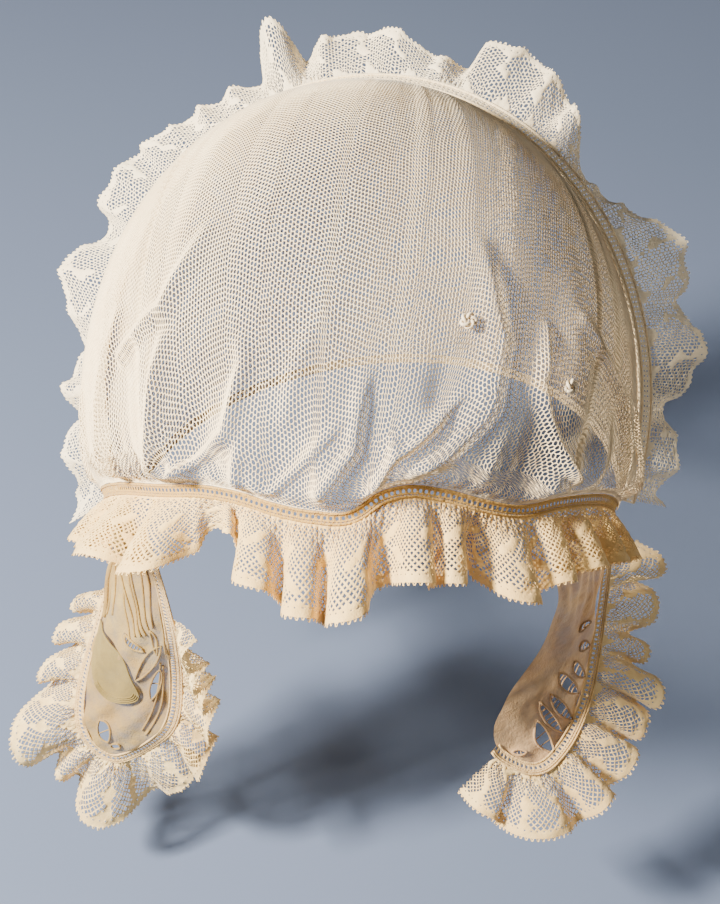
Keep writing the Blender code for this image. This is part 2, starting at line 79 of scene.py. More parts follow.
# Beading bands: rows from the seam outwards, each its depth, the distance between its holes, and
# their width and height as shares of that; then cords, each its distance from the seam and radius.
FRONT_BEADS = (
    ((0.75, 1, 0.45, 0.5), (1.7, 1.6, 0.56, 0.62), (0.65, 1, 0.45, 0.5), (0.6, 1, 0.35, 0.4)),
    ((0.25, 0.38), (3.1, 0.38)),
)
CROWN_BEADS = (
    ((1.8, 1.5, 0, 0), (1, 1.5, 0.35, 0.4), (1.4, 1.5, 0.34, 0.46), (1.4, 1.5, 0.34, 0.46),
     (1.2, 1.5, 0.3, 0.4)),
    ((0.3, 0.4), (1.9, 0.4), (6.5, 0.45)),
)
LAPPET_BEADS = (
    ((0.7, 0.85, 0.4, 0.45), (1.7, 1.45, 0.5, 0.66), (0.7, 0.85, 0.4, 0.45), (0.9, 1.45, 0, 0)),
    ((0.2, 0.36), (3.1, 0.3), (3.85, 0.34)),
)
HEM_BEADS = (
    ((0.8, 1.3, 0.5, 0.6), (1.2, 1.3, 0.6, 0.7), (0.8, 1.3, 0.5, 0.6)),
    ((0.2, 0.3), (2.6, 0.3)),
)

# Soft folds of the crown net above the front band.
PUFFS = np.array([
    # place, height, half width, reach, drift
    (0.06, 1.2, 0.026, 0.24, 0), (0.125, 1.6, 0.026, 0.28, 0.01), (0.19, 1.2, 0.02, 0.24, 0.01),
    (0.285, 3.6, 0.022, 0.36, 0.02), (0.37, 6, 0.028, 0.5, 0.03), (0.46, 4, 0.026, 0.28, 0),
    (0.53, 4, 0.026, 0.32, -0.01), (0.595, 6, 0.022, 0.36, -0.01), (0.66, 4, 0.022, 0.26, 0),
    (0.735, 7, 0.024, 0.52, -0.02), (0.795, 5, 0.02, 0.3, -0.01), (0.87, 6, 0.026, 0.45, -0.02),
    (0.94, 4, 0.028, 0.3, -0.01),
])
NET_LIFT = 2.5  # fullness of the net just above the front band
# Creases and hollows of the net: height, half width, then places from the left and up the net,
# from the upper end, where each one fades out.
CREASES = (
    (2.6, 2.4, (0.43, 0.445), (0.4, 0.355), (0.34, 0.31)),
    (3.2, 2.2, (0.4, 0.315), (0.39, 0.23), (0.372, 0.07)),
    (3.8, 2.4, (0.463, 0.3), (0.465, 0.27), (0.45, 0.16), (0.378, 0.02)),
    (2.6, 2, (0.46, 0.15), (0.448, 0.02)),
    (3.2, 2.2, (0.547, 0.265), (0.545, 0.215), (0.545, 0.135), (0.522, 0.055)),
    (2.2, 1.7, (0.537, 0.195), (0.515, 0.13), (0.48, 0.04)),
    (4, 2, (0.573, 0.15), (0.578, 0.11), (0.565, 0.02)),
    (3.6, 3.8, (0.612, 0.44), (0.625, 0.37), (0.638, 0.32), (0.64, 0.215), (0.633, 0.18),
     (0.61, 0.065)),
    (2.6, 1.8, (0.62, 0.24), (0.595, 0.15), (0.585, 0.115)),
    (3.6, 2.4, (0.68, 0.36), (0.682, 0.27), (0.713, 0.16), (0.75, 0.08)),
    (2.4, 3.2, (0.723, 0.4), (0.828, 0.285), (0.843, 0.185), (0.843, 0.06)),
    (1.8, 3, (0.52, 0.35), (0.503, 0.275), (0.495, 0.185)),
    (3, 3, (0.33, 0.38), (0.295, 0.24), (0.29, 0.03)),
    (1.4, 2, (0.235, 0.3), (0.215, 0.03)),
    (1.4, 2, (0.16, 0.26), (0.15, 0.03)),
    (3, 3, (0.9, 0.32), (0.92, 0.04)),
    (-3.4, 4.5, (0.608, 0.155), (0.585, 0.07)),
    (-2.8, 8, (0.7, 0.27), (0.735, 0.15)),
    (-2.6, 7, (0.5, 0.21), (0.49, 0.1)),
    (-2.4, 6, (0.425, 0.24), (0.415, 0.1)),
    (-2.4, 6, (0.6, 0.3), (0.602, 0.22)),
)
NET_SIZE = np.array([370.0, 180.0])      # width and height of the front panel, about
GATHERS, GATHER_HIGH = (130, 173), 0.55  # small gathers along the front edge
SWELL = 0.7                              # height of the net's soft waves
# How far the front edge hangs below its plane: place along it, then sag.
SAG = np.array([
    (0, -3), (0.15, -5), (0.25, -5.6), (0.35, -4.4), (0.4, -4), (0.44, -2.2), (0.48, 1),
    (0.515, 2.8), (0.55, 2.6), (0.575, -2.2), (0.6, -4.2), (0.64, -3.4), (0.68, -1), (0.72, 0.2),
    (0.78, -2.4), (0.87, -4.2), (1, -2),
])
SAG_REACH = 0.13  # share of the panel that follows the front edge

# Flutes of each ruffle, from its left end to its right end.
FRONT_FLUTES = np.array([
    # width, crest, depth, lean
    (20, 4, 0.46, 0), (20, 5, 0.46, 0), (13, 7, 0.54, -1), (13, 6, 0.62, 0), (24, 11, 0.76, 0),
    (19, 11, 0.9, 1), (10, -6, 0.2, 0), (5, 4, 0.3, 3), (14, 8, 0.8, 2), (12, 8, 0.98, 1),
    (14, 9, 1.04, 0), (4, -6, 0.8, 0), (12, 9, 0.92, 1), (10, 7, 0.86, -1), (4.5, -6, 0.36, 0),
    (16, 9, 0.96, 0), (13.5, 8, 0.8, 0), (15, 8, 0.72, 0), (15, 7, 0.68, 0), (14, 6, 0.6, 0),
    (16.5, 4, 0.54, 0),
])
CROWN_FOLDS = np.array([
    # place, forward, depth
    (0, 3, 1), (0.014, 2, 1.02), (0.026, -2, 0.92), (0.042, 2, 0.63), (0.068, 5, 0.6),
    (0.089, -3, 0.55), (0.108, 4, 0.53), (0.142, -3, 0.56), (0.172, 3, 0.66), (0.191, 5, 0.86),
    (0.21, 5, 0.93), (0.235, -4, 0.86), (0.259, 3, 0.82), (0.279, 5, 0.77), (0.3, 2, 0.8),
    (0.322, 4, 0.6), (0.342, 1, 0.57), (0.361, 3, 0.44), (0.378, 1, 0.42), (0.393, 3, 0.42),
    (0.407, -3, 0.46), (0.417, 1, 0.92), (0.428, 7, 1.1), (0.438, 1, 0.84), (0.446, -4, 0.72),
    (0.462, 4, 0.6), (0.486, 1, 0.7), (0.512, 5, 0.58), (0.53, 5, 0.48), (0.545, -1, 0.44),
    (0.558, 2, 0.42), (0.57, -4, 0.62), (0.582, 3, 0.8), (0.596, 6, 0.84), (0.612, 3, 0.92),
    (0.63, 6, 0.78), (0.647, 2, 0.74), (0.666, 5, 0.5), (0.686, -5, 0.42), (0.712, -7, 0.42),
    (0.735, -3, 0.42), (0.752, 1, 0.46), (0.765, 3, 0.64), (0.781, 6, 0.73), (0.804, 3, 0.78),
    (0.829, -3, 0.78), (0.855, 5, 0.72), (0.881, 3, 0.64), (0.907, -4, 0.44), (0.931, 1, 0.42),
    (0.949, 4, 0.42), (0.975, -2, 0.48), (1, 3, 0.62),
])
LEFT_FLUTES = np.array([
    # width, crest, depth, lean
    (11, 5, 0.72, 2), (15, 7, 0.6, 3), (14, 7, 0.6, 3), (19, 12, 0.84, 5), (5, 4, 0.7, 0),
    (7, 9, 0.88, -3), (20, 6, 0.62, 2), (12, 8, 0.58, -1), (14, 8, 0.6, 1), (13, 8, 0.52, 2),
    (12, 7, 0.46, 2), (16, 4, 0.4, 1),
])
RIGHT_FLUTES = np.array([
    # width, crest, depth, lean
    (14, 7, 1, 0), (15, 6, 0.95, -2), (10, 4, 0.9, 0), (16, 9, 1, 2), (13, 5, 0.92, 0),
    (15, 6, 0.88, -2), (13, 5, 0.85, 1), (13, 5, 0.8, -1), (12, 4, 0.66, 0),
])
TROUGH = 4.0            # how far the troughs between flutes dip
CRUMPLE = 0.15          # height of a ruffle's small unevenness
SEAM_GATHER = 0.5       # height of the small gathers at a ruffle's seam
BULGE = 0.13            # how far a flute's sides lean out over its troughs
CURL = np.radians(6.0)  # how far a ruffle bends down towards its free edge
TROUGH_DEEP = 0.93      # depth of a ruffle at its troughs, against the crests

# Sections of the two lappets from the front band down.
LEFT_LAPPET = np.array([
    # share, outer x, y, z, inner x, y, z, bow
    (0, -71, -22, -42, -50, -72, 0, 3),
    (0.3, -80.4, -38.3, -61.9, -55.6, -64.9, -35.1, 2),
    (0.6, -86.5, -48, -84.5, -56.8, -58.8, -67.2, 2),
    (0.82, -88.5, -53, -99, -58.1, -60.8, -87.3, 2),
    (1, -88, -53.4, -108.4, -65.3, -57.7, -101.7, 2),
])
RIGHT_LAPPET = np.array([
    # share, outer x, y, z, inner x, y, z, bow
    (0, 73, -32, -30, 54, -70, 0, 3),
    (0.3, 73.9, -34, -57.2, 59.1, -59.5, -34.4, 2),
    (0.6, 70.1, -49.8, -77.6, 44.7, -67.1, -66.4, 2),
    (0.82, 66.5, -59.5, -88.3, 40.1, -70.5, -82, 2),
    (1, 65.2, -66, -92.5, 44, -74, -90.5, 2),
])
# Slots cut in the lappets' closed work: first end, last end (across -1 to 1, share of the
# length), widest opening, and number of bars across.  A slot with -1 bars is only a raised outline.
RIGHT_SLOTS = (
    (0.1, 0.7, -0.52, 0.94, 9, 2), (0.24, 0.608, -0.76, 0.81, 4.4, 7),
    (0.03, 0.584, -0.86, 0.74, 4.8, 6), (0.06, 0.506, -0.86, 0.62, 4.8, 4),
    (-0.28, 0.478, -0.86, 0.552, 4, 3), (-0.3, 0.43, -0.86, 0.444, 3.6, 3),
    (-0.02, 0.372, -0.5, 0.352, 3.2, 2), (0.52, 0.88, 0.2, 0.895, 4.4, 2),
)
LEFT_SLOTS = (
    (-0.52, 0.74, -0.3, 0.865, 8, 1), (-0.24, 0.892, 0.02, 0.912, 5.6, 0),
    (0.6, 0.665, 0.78, 0.535, 5.6, 1), (-0.03, 0.352, 0.46, 0.436, 3.4, 9),
    (0.28, 0.56, 0.86, 0.41, 7, -1), (0.66, 0.34, 0.76, 0.45, 3, -1),
)
# Cords that run down a lappet from its gathered top: size, then places down its length.
LEFT_CORDS = (
    (0.8, (-0.96, 0.06), (-0.9, 0.16), (-0.84, 0.3)),
    (0.38, (-0.78, 0.05), (-0.74, 0.16), (-0.78, 0.29)),
    (0.38, (-0.55, 0.05), (-0.5, 0.16), (-0.4, 0.29)),
    (0.38, (-0.18, 0.05), (-0.12, 0.16), (0.02, 0.3), (0.2, 0.38)),
    (0.38, (0.04, 0.05), (0.08, 0.16), (0.16, 0.28), (0.3, 0.36)),
    (0.38, (0.22, 0.05), (0.26, 0.16), (0.32, 0.27), (0.44, 0.36)),
    (0.38, (0.42, 0.05), (0.44, 0.16), (0.44, 0.28), (0.54, 0.36)),
    (0.38, (0.62, 0.05), (0.6, 0.16), (0.58, 0.28), (0.64, 0.35)),
    (0.38, (0.84, 0.05), (0.82, 0.16), (0.76, 0.27), (0.72, 0.33)),
    (0.36, (0.97, 0.2), (0.9, 0.33), (0.94, 0.45)),
    (0.36, (0.5, 0.84), (0.8, 0.68), (0.84, 0.52)),
    (0.36, (0.4, 0.81), (0.7, 0.66), (0.8, 0.5)),
)
# The three-cornered fold on the left lappet: across and down it.
FOLD = (
    (-0.88, 0.31), (-0.7, 0.335), (-0.48, 0.368), (-0.06, 0.448), (0.18, 0.54),
    (0.36, 0.645), (0.1, 0.662), (-0.4, 0.635), (-0.68, 0.56), (-0.84, 0.44),
)
FOLD_SIZE = (30.0, 26.0)
# Each lappet: its sections, the end of the front band that carries it, the flutes and the rise in
# degrees of its ruffle, how far its band is turned out, where round the outline the band and the
# ruffle end, its slots and cords, and its cloth.
LAPPETS = (
    dict(side="left", sections=LEFT_LAPPET, end=0, fluting=LEFT_FLUTES, rise=(16, 14, 35), tilt=0.0,
         band_end=0.95, ruffle_end=0.80, slots=LEFT_SLOTS, cords=LEFT_CORDS, work="lappet_work"),
    dict(side="right", sections=RIGHT_LAPPET, end=1, fluting=RIGHT_FLUTES, rise=(38, 32, 12), tilt=0.6,
         band_end=0.50, ruffle_end=0.49, slots=RIGHT_SLOTS, cords=(), work="blush_work"),
)
LAPPET_SIZE = np.array([26.5, 105.0])  # half width and length of a lappet laid flat
ROUND_FROM = 0.60                      # the lappets' ends are round from here down
LAPPET_TOP = 0.25                      # share of the front band that carries each lappet
PLEATS, PLEAT_HIGH = 6, 1.2            # pleats gathered into a lappet's top

KNOTS = ((0.61, 0.34, 4.6), (0.71, 0.27, 4.2))  # place along the net, up the net, size


# ---- curves and surfaces

def unit(v):
    return v / np.maximum(np.linalg.norm(v, axis=-1, keepdims=True), 1e-12)


def clipped(x):
    """Values held between 0 and 1."""
    return np.clip(x, 0.0, 1.0)


def bump(x, half):
    """A soft rise to 1 where x is 0, about half wide on each side."""
    return np.exp(-(x / half) ** 2)


def walked(points):
    """Distance along a row of points from the first of them."""
    return np.concatenate([[0.0], np.cumsum(np.linalg.norm(np.diff(points, axis=0), axis=1))])


def facing(surface, s, d, nudge=NUDGE):
    """The way out of a surface that is read by two values."""
    across = surface(s + nudge, d) - surface(s - nudge, d)
    down = surface(s, d + nudge) - surface(s, d - nudge)
    return unit(np.cross(across, down))


def plane_cut(normal, offset, start):
    """The dome's cut by a plane, on the unit ball, as a function of the angle from start."""
    w = normal * HALF
    size = np.linalg.norm(w)
    w = w / size
    centre = w * offset / size
    radius = np.sqrt(1 - (offset / size) ** 2)
    first = unit(start / HALF - w * np.dot(start / HALF, w))
    second = np.cross(w, first)
    second = second * np.sign(second[0])

    def at(angle):
        c, s = np.cos(angle)[..., None], np.sin(angle)[..., None]
        return centre + radius * (c * first + s * second)
    return at


class Line:
    """A curve read by its share of length, from 0 to 1."""

    def __init__(self, points, scale):
        along = walked(points * scale)
        self.points, self.along = points, along / along[-1]

    def __call__(self, share):
        share = np.asarray(share, float)
        return np.stack([np.interp(share, self.along, self.points[:, k]) for k in range(3)], -1)


def crossing(cut, level, end):
    """The angle, from 0 towards end, where a cut meets another plane."""
    angle = np.linspace(0.0, end, 4001)
    value = level(cut(angle) * HALF)
    k = int(np.nonzero(np.diff(np.sign(value)))[0][0])
    return angle[k] - value[k] * (angle[k + 1] - angle[k]) / (value[k + 1] - value[k])


def arc(cut, start, end):
    return Line(cut(np.linspace(start, end, DENSE)), HALF)


UP_BACK = np.array([0.0, np.cos(LEAN), np.sin(LEAN)])
FORWARD = np.array([0.0, -np.sin(LEAN), np.cos(LEAN)])
SEAM_NORMAL = FORWARD - np.array([SEAM_SKEW, 0.0, 0.0])
front_cut = plane_cut(UP_BACK, FRONT_AT, FORWARD * 100)
seam_cut = plane_cut(SEAM_NORMAL, SEAM_AT, UP_BACK * 100)


def to_seam(p):
    return p @ SEAM_NORMAL - SEAM_AT


def to_front(p):
    return p @ UP_BACK - FRONT_AT


FRONT = arc(front_cut, crossing(front_cut, to_seam, -np.pi), crossing(front_cut, to_seam, np.pi))
SEAM_ENDS = [crossing(seam_cut, to_front, s * np.pi) for s in (-1, 1)]
SEAM = arc(seam_cut, SEAM_ENDS[0], SEAM_ENDS[1])
TOP = arc(seam_cut, -TOP_HALF_ANGLE, TOP_HALF_ANGLE)
LEFT = arc(seam_cut, SEAM_ENDS[0], -TOP_HALF_ANGLE)
RIGHT = arc(seam_cut, SEAM_ENDS[1], TOP_HALF_ANGLE)


def nape_line():
    """The back's lower edge, from the left ear round the nape to the right ear."""
    left, right = SEAM(0.0) * HALF, SEAM(1.0) * HALF
    normal = unit(np.cross(right - left, NAPE - left))
    cut = plane_cut(normal, float(normal @ left), NAPE)
    angle = np.linspace(-np.pi, np.pi, 7201)
    ends = [angle[np.argmin(np.linalg.norm(cut(angle) * HALF - p, axis=1))] for p in (left, right)]
    return arc(cut, ends[0], ends[1])


NAPE_EDGE = nape_line()


def folds(table, u, v, power):
    """Height of the folds that rise from the front band and fade up the panel."""
    lift = np.zeros_like(u)
    for place, height, half, reach, drift in table:
        rise = clipped(v / reach)
        ridge = bump(u - place - drift * rise, half)
        lift = lift + height * ridge * (1 - rise) ** power * clipped(v / 0.05)
    return lift


def to_segment(points, a, b):
    """Distance from points to a straight line between two places."""
    share = clipped((points - a) @ (b - a) / ((b - a) @ (b - a)))
    return np.linalg.norm(points - a - share[..., None] * (b - a), axis=-1)


def creases(u, v):
    """Height of the net's creases, and depth of its hollows."""
    here = np.stack([u, v], -1) * NET_SIZE
    lift = np.zeros_like(u)
    for high, half, *places in CREASES:
        line = np.array(places) * NET_SIZE
        away = np.min([to_segment(here, a, b) for a, b in zip(line, line[1:])], axis=0)
        fade = clipped((line[0, 1] + 4.0 - here[..., 1]) / 14.0)
        lift = lift + high * fade * bump(away, half)
    return lift


def puff(u, v):
    """How far the net stands off the dome."""
    fullness = NET_LIFT * (1 - 0.6 * bump(u - 0.17, 0.09))
    lift = fullness * bump(v - 0.10, 0.12) + folds(PUFFS, u, v, 1.2)
    lift = lift + creases(u, v) * clipped(v / 0.04)
    small = sum(np.sin(n * u + 9 * np.sin(0.11 * n * u) + 2 * v) for n in GATHERS)
    lift = lift + GATHER_HIGH * small * bump(v, 0.11)
    swell = np.sin(23 * u + 7 * v + 2 * np.sin(9 * v)) + 0.7 * np.sin(41 * u - 11 * v + 1.3)
    lift = lift + SWELL * swell * bump(v - 0.28, 0.22)
    return lift * clipped(v / 0.03)


def sag(u):
    """How far the front edge hangs below its plane."""
    return through(SAG, u)[..., 0]


def front_net(u, v):
    """The front panel of the crown: u from left to right, v from the front edge to the seam."""
    a, b = u[..., None], v[..., None]
    low, high, left, right = FRONT(u), TOP(u), LEFT(v), RIGHT(v)
    edge = (1 - b) * low + b * high + (1 - a) * left + a * right
    corner = ((1 - a) * ((1 - b) * FRONT(0.0) + b * TOP(0.0))
              + a * ((1 - b) * FRONT(1.0) + b * TOP(1.0)))
    on_dome = unit(edge - corner) * HALF
    on_dome = on_dome - UP_BACK * (sag(u) * bump(v, SAG_REACH))[..., None]
    return on_dome + unit(on_dome / HALF ** 2) * (WALL / 2 + puff(u, v)[..., None])


def back_net(u, v):
    """The back of the cap: u from left to right, v from the crown seam down to the nape."""
    b = v[..., None]
    on_dome = unit((1 - b) * SEAM(u) + b * NAPE_EDGE(u)) * HALF
    ease = np.sin(np.pi * v) ** 0.7 * (0.5 * np.sin(34 * u + 3 * v) + 0.4 * np.sin(61 * u - 2 * v))
    return on_dome + unit(on_dome / HALF ** 2) * (WALL / 2 + 0.35 * ease[..., None])


class Drape:
    """A panel read by two true lengths: across from its middle, and down from its first edge.

    Rows keep their distance from the first edge.  Columns keep their distance from the middle
    one, except near a gathered edge, where they draw together to fit it.
    """

    def __init__(self, panel, first_gather=1.0, last_gather=1.0, columns=201, rows=141):
        shares = np.linspace(0, 1, columns)
        u, v = np.meshgrid(shares, np.linspace(0, 1, rows), indexing="ij")
        step = np.linalg.norm(np.diff(panel(u, v), axis=1), axis=2)
        down = np.concatenate([np.zeros((columns, 1)), np.cumsum(step, axis=1)], axis=1)
        long = down[:, -1]
        self.deep = long.max()
        self.d = np.linspace(0, self.deep, rows)
        share = np.stack([np.interp(self.d, x, v[0]) for x in down])
        places = panel(u, share)
        across = np.linalg.norm(np.diff(places, axis=0), axis=2)
        across = np.concatenate([np.zeros((1, rows)), np.cumsum(across, axis=0)])
        across = across - across[columns // 2]
        near = clipped(self.d / 26.0)
        far = clipped((self.deep - self.d) / 26.0)
        draw = (first_gather + (1 - first_gather) * near ** 0.5)
        draw = draw * (last_gather + (1 - last_gather) * far ** 0.5)
        across = across / draw
        self.low, self.high = across[0], across[-1]
        self.half = max(-self.low.min(), self.high.max())
        flat = np.linspace(-self.half, self.half, columns)
        self.to_u = np.stack([np.interp(flat, column, shares) for column in across.T], 1)
        self.panel, self.share = panel, share
        self.end_c = np.array([np.interp(x, self.d, row) for x, row in zip(long, across)])
        self.end_d = long

    def read(self, table, x, y):
        """Values of a table between its rows and columns, at shares of its size."""
        rows, columns = table.shape
        x, y = clipped(x) * (rows - 1), clipped(y) * (columns - 1)
        i, j = np.minimum(x.astype(int), rows - 2), np.minimum(y.astype(int), columns - 2)
        a, b = x - i, y - j
        return ((1 - a) * ((1 - b) * table[i, j] + b * table[i, j + 1])
                + a * ((1 - b) * table[i + 1, j] + b * table[i + 1, j + 1]))

    def limit(self, p):
        """Keeps points of the flat cloth inside the panel's seams."""
        c, d = p[..., 0], np.maximum(p[..., 1], 0)
        d = np.minimum(d, np.interp(c, self.end_c, self.end_d))
        c = np.clip(c, np.interp(d, self.d, self.low), np.interp(d, self.d, self.high))
        return np.stack([c, d], -1)

    def __call__(self, c, d):
        down = d / self.deep
        u = self.read(self.to_u, (c / self.half + 1) / 2, down)
        return self.panel(u, self.read(self.share, u, down))


class Edge:
    """A seam with a frame at every place: along it, out of the cloth, and away from the cloth.

    The guide is the line that turns the frame, where it isn't the seam itself.
    """

    def __init__(self, place, normal, side, guide=None):
        self.place, self.normal, self.side, self.guide = place, normal, side, guide or place

    def frame(self, s):
        step = 0.002
        at = self.place(s)
        along = unit(self.guide(clipped(s + step)) - self.guide(clipped(s - step)))
        out = self.normal(s)
        away = unit(np.cross(along, out)) * self.side
        return at, along, out, away


def dome_edge(line, side, drop=None, level=False):
    """An edge on the dome; drop lets it hang in waves, and level turns its frame as if it didn't."""
    def plain(s):
        return line(s) * HALF

    def place(s):
        return plain(s) - UP_BACK * drop(s)[..., None] if drop else plain(s)

    def normal(s):
        return unit(line(s) / HALF)
    return Edge(place, normal, side, plain if level else None)


FRONT_EDGE = dome_edge(FRONT, 1.0, sag)
FRONT_HANG = dome_edge(FRONT, 1.0, sag, level=True)
CROWN_EDGE = dome_edge(SEAM, -1.0)
HEM_EDGE = dome_edge(NAPE_EDGE, -1.0)


def band_at(edge, rise, start, high):
    """A flat band along an edge, read by share along it and distance across it."""
    def at(u, across):
        place, _, out, away = edge.frame(u)
        way = np.cos(rise) * away + np.sin(rise) * out
        return place + away * start + out * high + way * across[..., None]
    return at


def flutes(table, s):
    """Crest height, sideways shift, and depth of a gathered ruffle at each place."""
    ends = np.concatenate([[0.0], np.cumsum(table[:, 0])])
    ends = ends / ends[-1]
    k = np.clip(np.searchsorted(ends, s, side="right") - 1, 0, len(table) - 1)
    local = (s - ends[k]) / (ends[k + 1] - ends[k])
    phase = 2 * np.pi * local
    crest = ((1 - np.cos(phase)) / 2) ** 0.75
    width, high, deep, lean = table[k].T
    crests = table[:, 2]
    troughs = TROUGH_DEEP * np.concatenate([crests[:1], (crests[1:] + crests[:-1]) / 2, crests[-1:]])
    low = np.where(local < 0.5, troughs[k], troughs[k + 1])
    out = (high + TROUGH) * crest - TROUGH
    shift = lean * crest - BULGE * width * np.sin(phase) + 0.05 * width * np.sin(2 * phase)
    return out, shift, low + (deep - low) * crest


def uneven(table, s):
    """The same three values for a ruffle whose folds are placed one by one."""
    out, deep = through(table, s).T
    small = 1.1 * np.sin(2 * np.pi * 37 * s + 2 * np.sin(17 * s))
    lean = 1.0 * np.sin(2 * np.pi * 37 * s + 1.3)
    return out * 1.15 + small, lean, deep


class Ruffle:
    """Gathered lace along an edge, read by length along its free edge and depth from the seam.

    folds and table give its flutes; start and high are its seam's distances from the edge, away
    from the cloth and out of it; rise is its slope in degrees at its left end, middle and right
    end; droop is how far its free edge sinks; sweep is how far its right end leans along the edge.
    """

    def __init__(self, edge, folds, table, deep, start, high, rise, droop, first=0.012, last=0.988,
                 sweep=0.0):
        self.edge, self.folds, self.table, self.deep, self.sweep = edge, folds, table, deep, sweep
        self.start, self.high, self.rise, self.droop = start, high, np.radians(rise), droop
        u = np.linspace(first, last, 4 * DENSE)
        walk = walked(self.at(u, np.full_like(u, 0.8)))
        self.long, self.share, self.walk = walk[-1], u, walk

    def at(self, u, v):
        place, along, out, away = self.edge.frame(u)
        crest, shift, deep = self.folds(self.table, u)
        shift = shift + self.sweep * clipped(2 * u - 1)
        angle = np.interp(u, (0.0, 0.5, 1.0), self.rise) - CURL * v
        c, s = np.cos(angle)[..., None], np.sin(angle)[..., None]
        way, cross = c * away + s * out, c * out - s * away
        reach = (self.deep * deep * v)[..., None]
        fan = (np.maximum(v, 0.0) ** 0.9)[..., None]
        base = place + away * self.start + out * self.high
        fall = np.array([0.0, 0.0, -1.0]) * (self.droop * v ** 2)[..., None]
        return base + way * reach + fan * (crest[..., None] * cross + shift[..., None] * along) + fall

    def __call__(self, s, d):
        u = np.interp(s, self.walk, self.share)
        v = d / self.deep
        points = self.at(u, v)
        gather = SEAM_GATHER * np.sin(2 * np.pi * s / 3.1) * bump(d, 6.0)
        crumple = CRUMPLE * (np.sin(1.1 * s + 0.9 * d) + np.sin(0.7 * s - 1.6 * d + 2.0))
        return points + self.edge.normal(u) * ((gather + crumple) * clipped(d / 0.8))[..., None]


def through(table, t):
    """Smooth values between the rows of a table whose first column is the place."""
    knots, rows = table[:, 0], table[:, 1:]
    slope = np.gradient(rows, knots, axis=0)
    k = np.clip(np.searchsorted(knots, t, side="right") - 1, 0, len(knots) - 2)
    h = knots[k + 1] - knots[k]
    x = ((t - knots[k]) / h)[..., None]
    h = h[..., None]
    return ((1 + 2 * x) * (1 - x) ** 2 * rows[k] + x * (1 - x) ** 2 * h * slope[k]
            + x ** 2 * (3 - 2 * x) * rows[k + 1] + x ** 2 * (x - 1) * h * slope[k + 1])


class Lappet:
    """A hanging lappet: p from -1, its outer edge, to 1, its inner edge, and t down its length."""

    def __init__(self, table, from_end):
        self.table, self.side = table, -1.0 if from_end == 0 else 1.0
        self.from_end = from_end

    def top(self, p):
        """The line just under the front band that the lappet hangs from."""
        share = 0.012 + (LAPPET_TOP - 0.012) * (p + 1) / 2
        s = share if self.from_end == 0 else 1 - share
        place, _, out, away = FRONT_EDGE.frame(s)
        return place + away * (FRONT_BAND_WIDE + 3 * GAP) - out * (WALL / 2 + GAP)

    def chord(self, p, t):
        row = through(self.table, t)
        lower, upper = (through(self.table, clipped(t + e)) for e in (0.01, -0.01))
        ahead = lower - upper
        outer, inner, bow = row[..., 0:3], row[..., 3:6], row[..., 6:7]
        down = ahead[..., 0:3] + ahead[..., 3:6]
        out = unit(np.cross(inner - outer, down)) * self.side
        q = p[..., None]
        return (outer + inner) / 2 + (inner - outer) / 2 * q + out * bow * (1 - q ** 2)

    def place(self, p, t):
        p, t = np.broadcast_arrays(np.asarray(p, float), np.asarray(t, float))
        fade = clipped(1 - t / 0.4)[..., None] ** 2
        top = self.top(np.clip(p, -1, 1))
        body = self.chord(p, t) + fade * (top - self.chord(p, np.zeros_like(t)))
        ripple = PLEAT_HIGH * np.sin(p * np.pi * PLEATS) * bump(t, 0.22)
        ripple = ripple * clipped(t / 0.08) * clipped((1 - np.abs(p)) / 0.1)
        return body + self.normal_of(p, t) * ripple[..., None]

    def normal_of(self, p, t):
        def body(p, t):
            return self.chord(p, clipped(t))
        return facing(body, p, t, 0.01) * self.side

    def on(self, flat, rise):
        """Points lifted off the lappet, from places on its flat cloth."""
        p, t = flat[..., 0] / LAPPET_SIZE[0], flat[..., 1] / LAPPET_SIZE[1]
        return self.place(p, t) + self.normal_of(p, t) * rise[..., None]

    def outline(self, s):
        """The U of the lappet's edge, from its outer top round the end to its inner top."""
        side = 0.36
        first = clipped(s / side) * ROUND_FROM
        last = clipped((1 - s) / side) * ROUND_FROM
        angle = clipped((s - side) / (1 - 2 * side)) * np.pi
        p = -np.cos(angle)
        t = np.where(s < side, first, np.where(s > 1 - side, last, ROUND_FROM))
        return p, t + (1 - ROUND_FROM) * np.sin(angle)

    def edge(self, first, last):
        """The lappet's edge between two shares of its length round the outline."""
        share = np.linspace(0, 1, DENSE // 3)
        walk = walked(self.place(*self.outline(share)))
        walk = walk / walk[-1]

        def on(s):
            return self.outline(np.interp(first + (last - first) * s, walk, share))

        def place(s):
            return self.place(*on(s))

        def normal(s):
            return self.normal_of(*on(s))
        return Edge(place, normal, -self.side)


# ---- making meshes

def put(name, data):
    """A new object in the scene."""
    made = bpy.data.objects.new(name, data)
    bpy.context.scene.collection.objects.link(made)
    return made


def mesh_from(name, points, groups, flat):
    """A piece from points, arrays of faces, and each point's place on the flat cloth."""
    used, faces = np.unique(np.concatenate([g.ravel() for g in groups]), return_inverse=True)
    sizes = np.concatenate([np.full(len(g), g.shape[1]) for g in groups])
    mesh = bpy.data.meshes.new(name)
    mesh.vertices.add(len(used))
    mesh.vertices.foreach_set("co", ((points[used] + CENTRE) * MM).ravel())
    mesh.loops.add(len(faces))
    mesh.loops.foreach_set("vertex_index", faces)
    mesh.polygons.add(len(sizes))
    mesh.polygons.foreach_set("loop_start", np.concatenate([[0], np.cumsum(sizes)[:-1]]))
    mesh.update(calc_edges=True)
    low, high = flat[used].min(0), flat[used].max(0)
    spread = (flat[used] - low) / (high - low).max()
    mesh.uv_layers.new(name="OFBake").data.foreach_set("uv", spread[faces].ravel())
    mesh.validate()
    mesh.shade_smooth()
    return put(name, mesh)


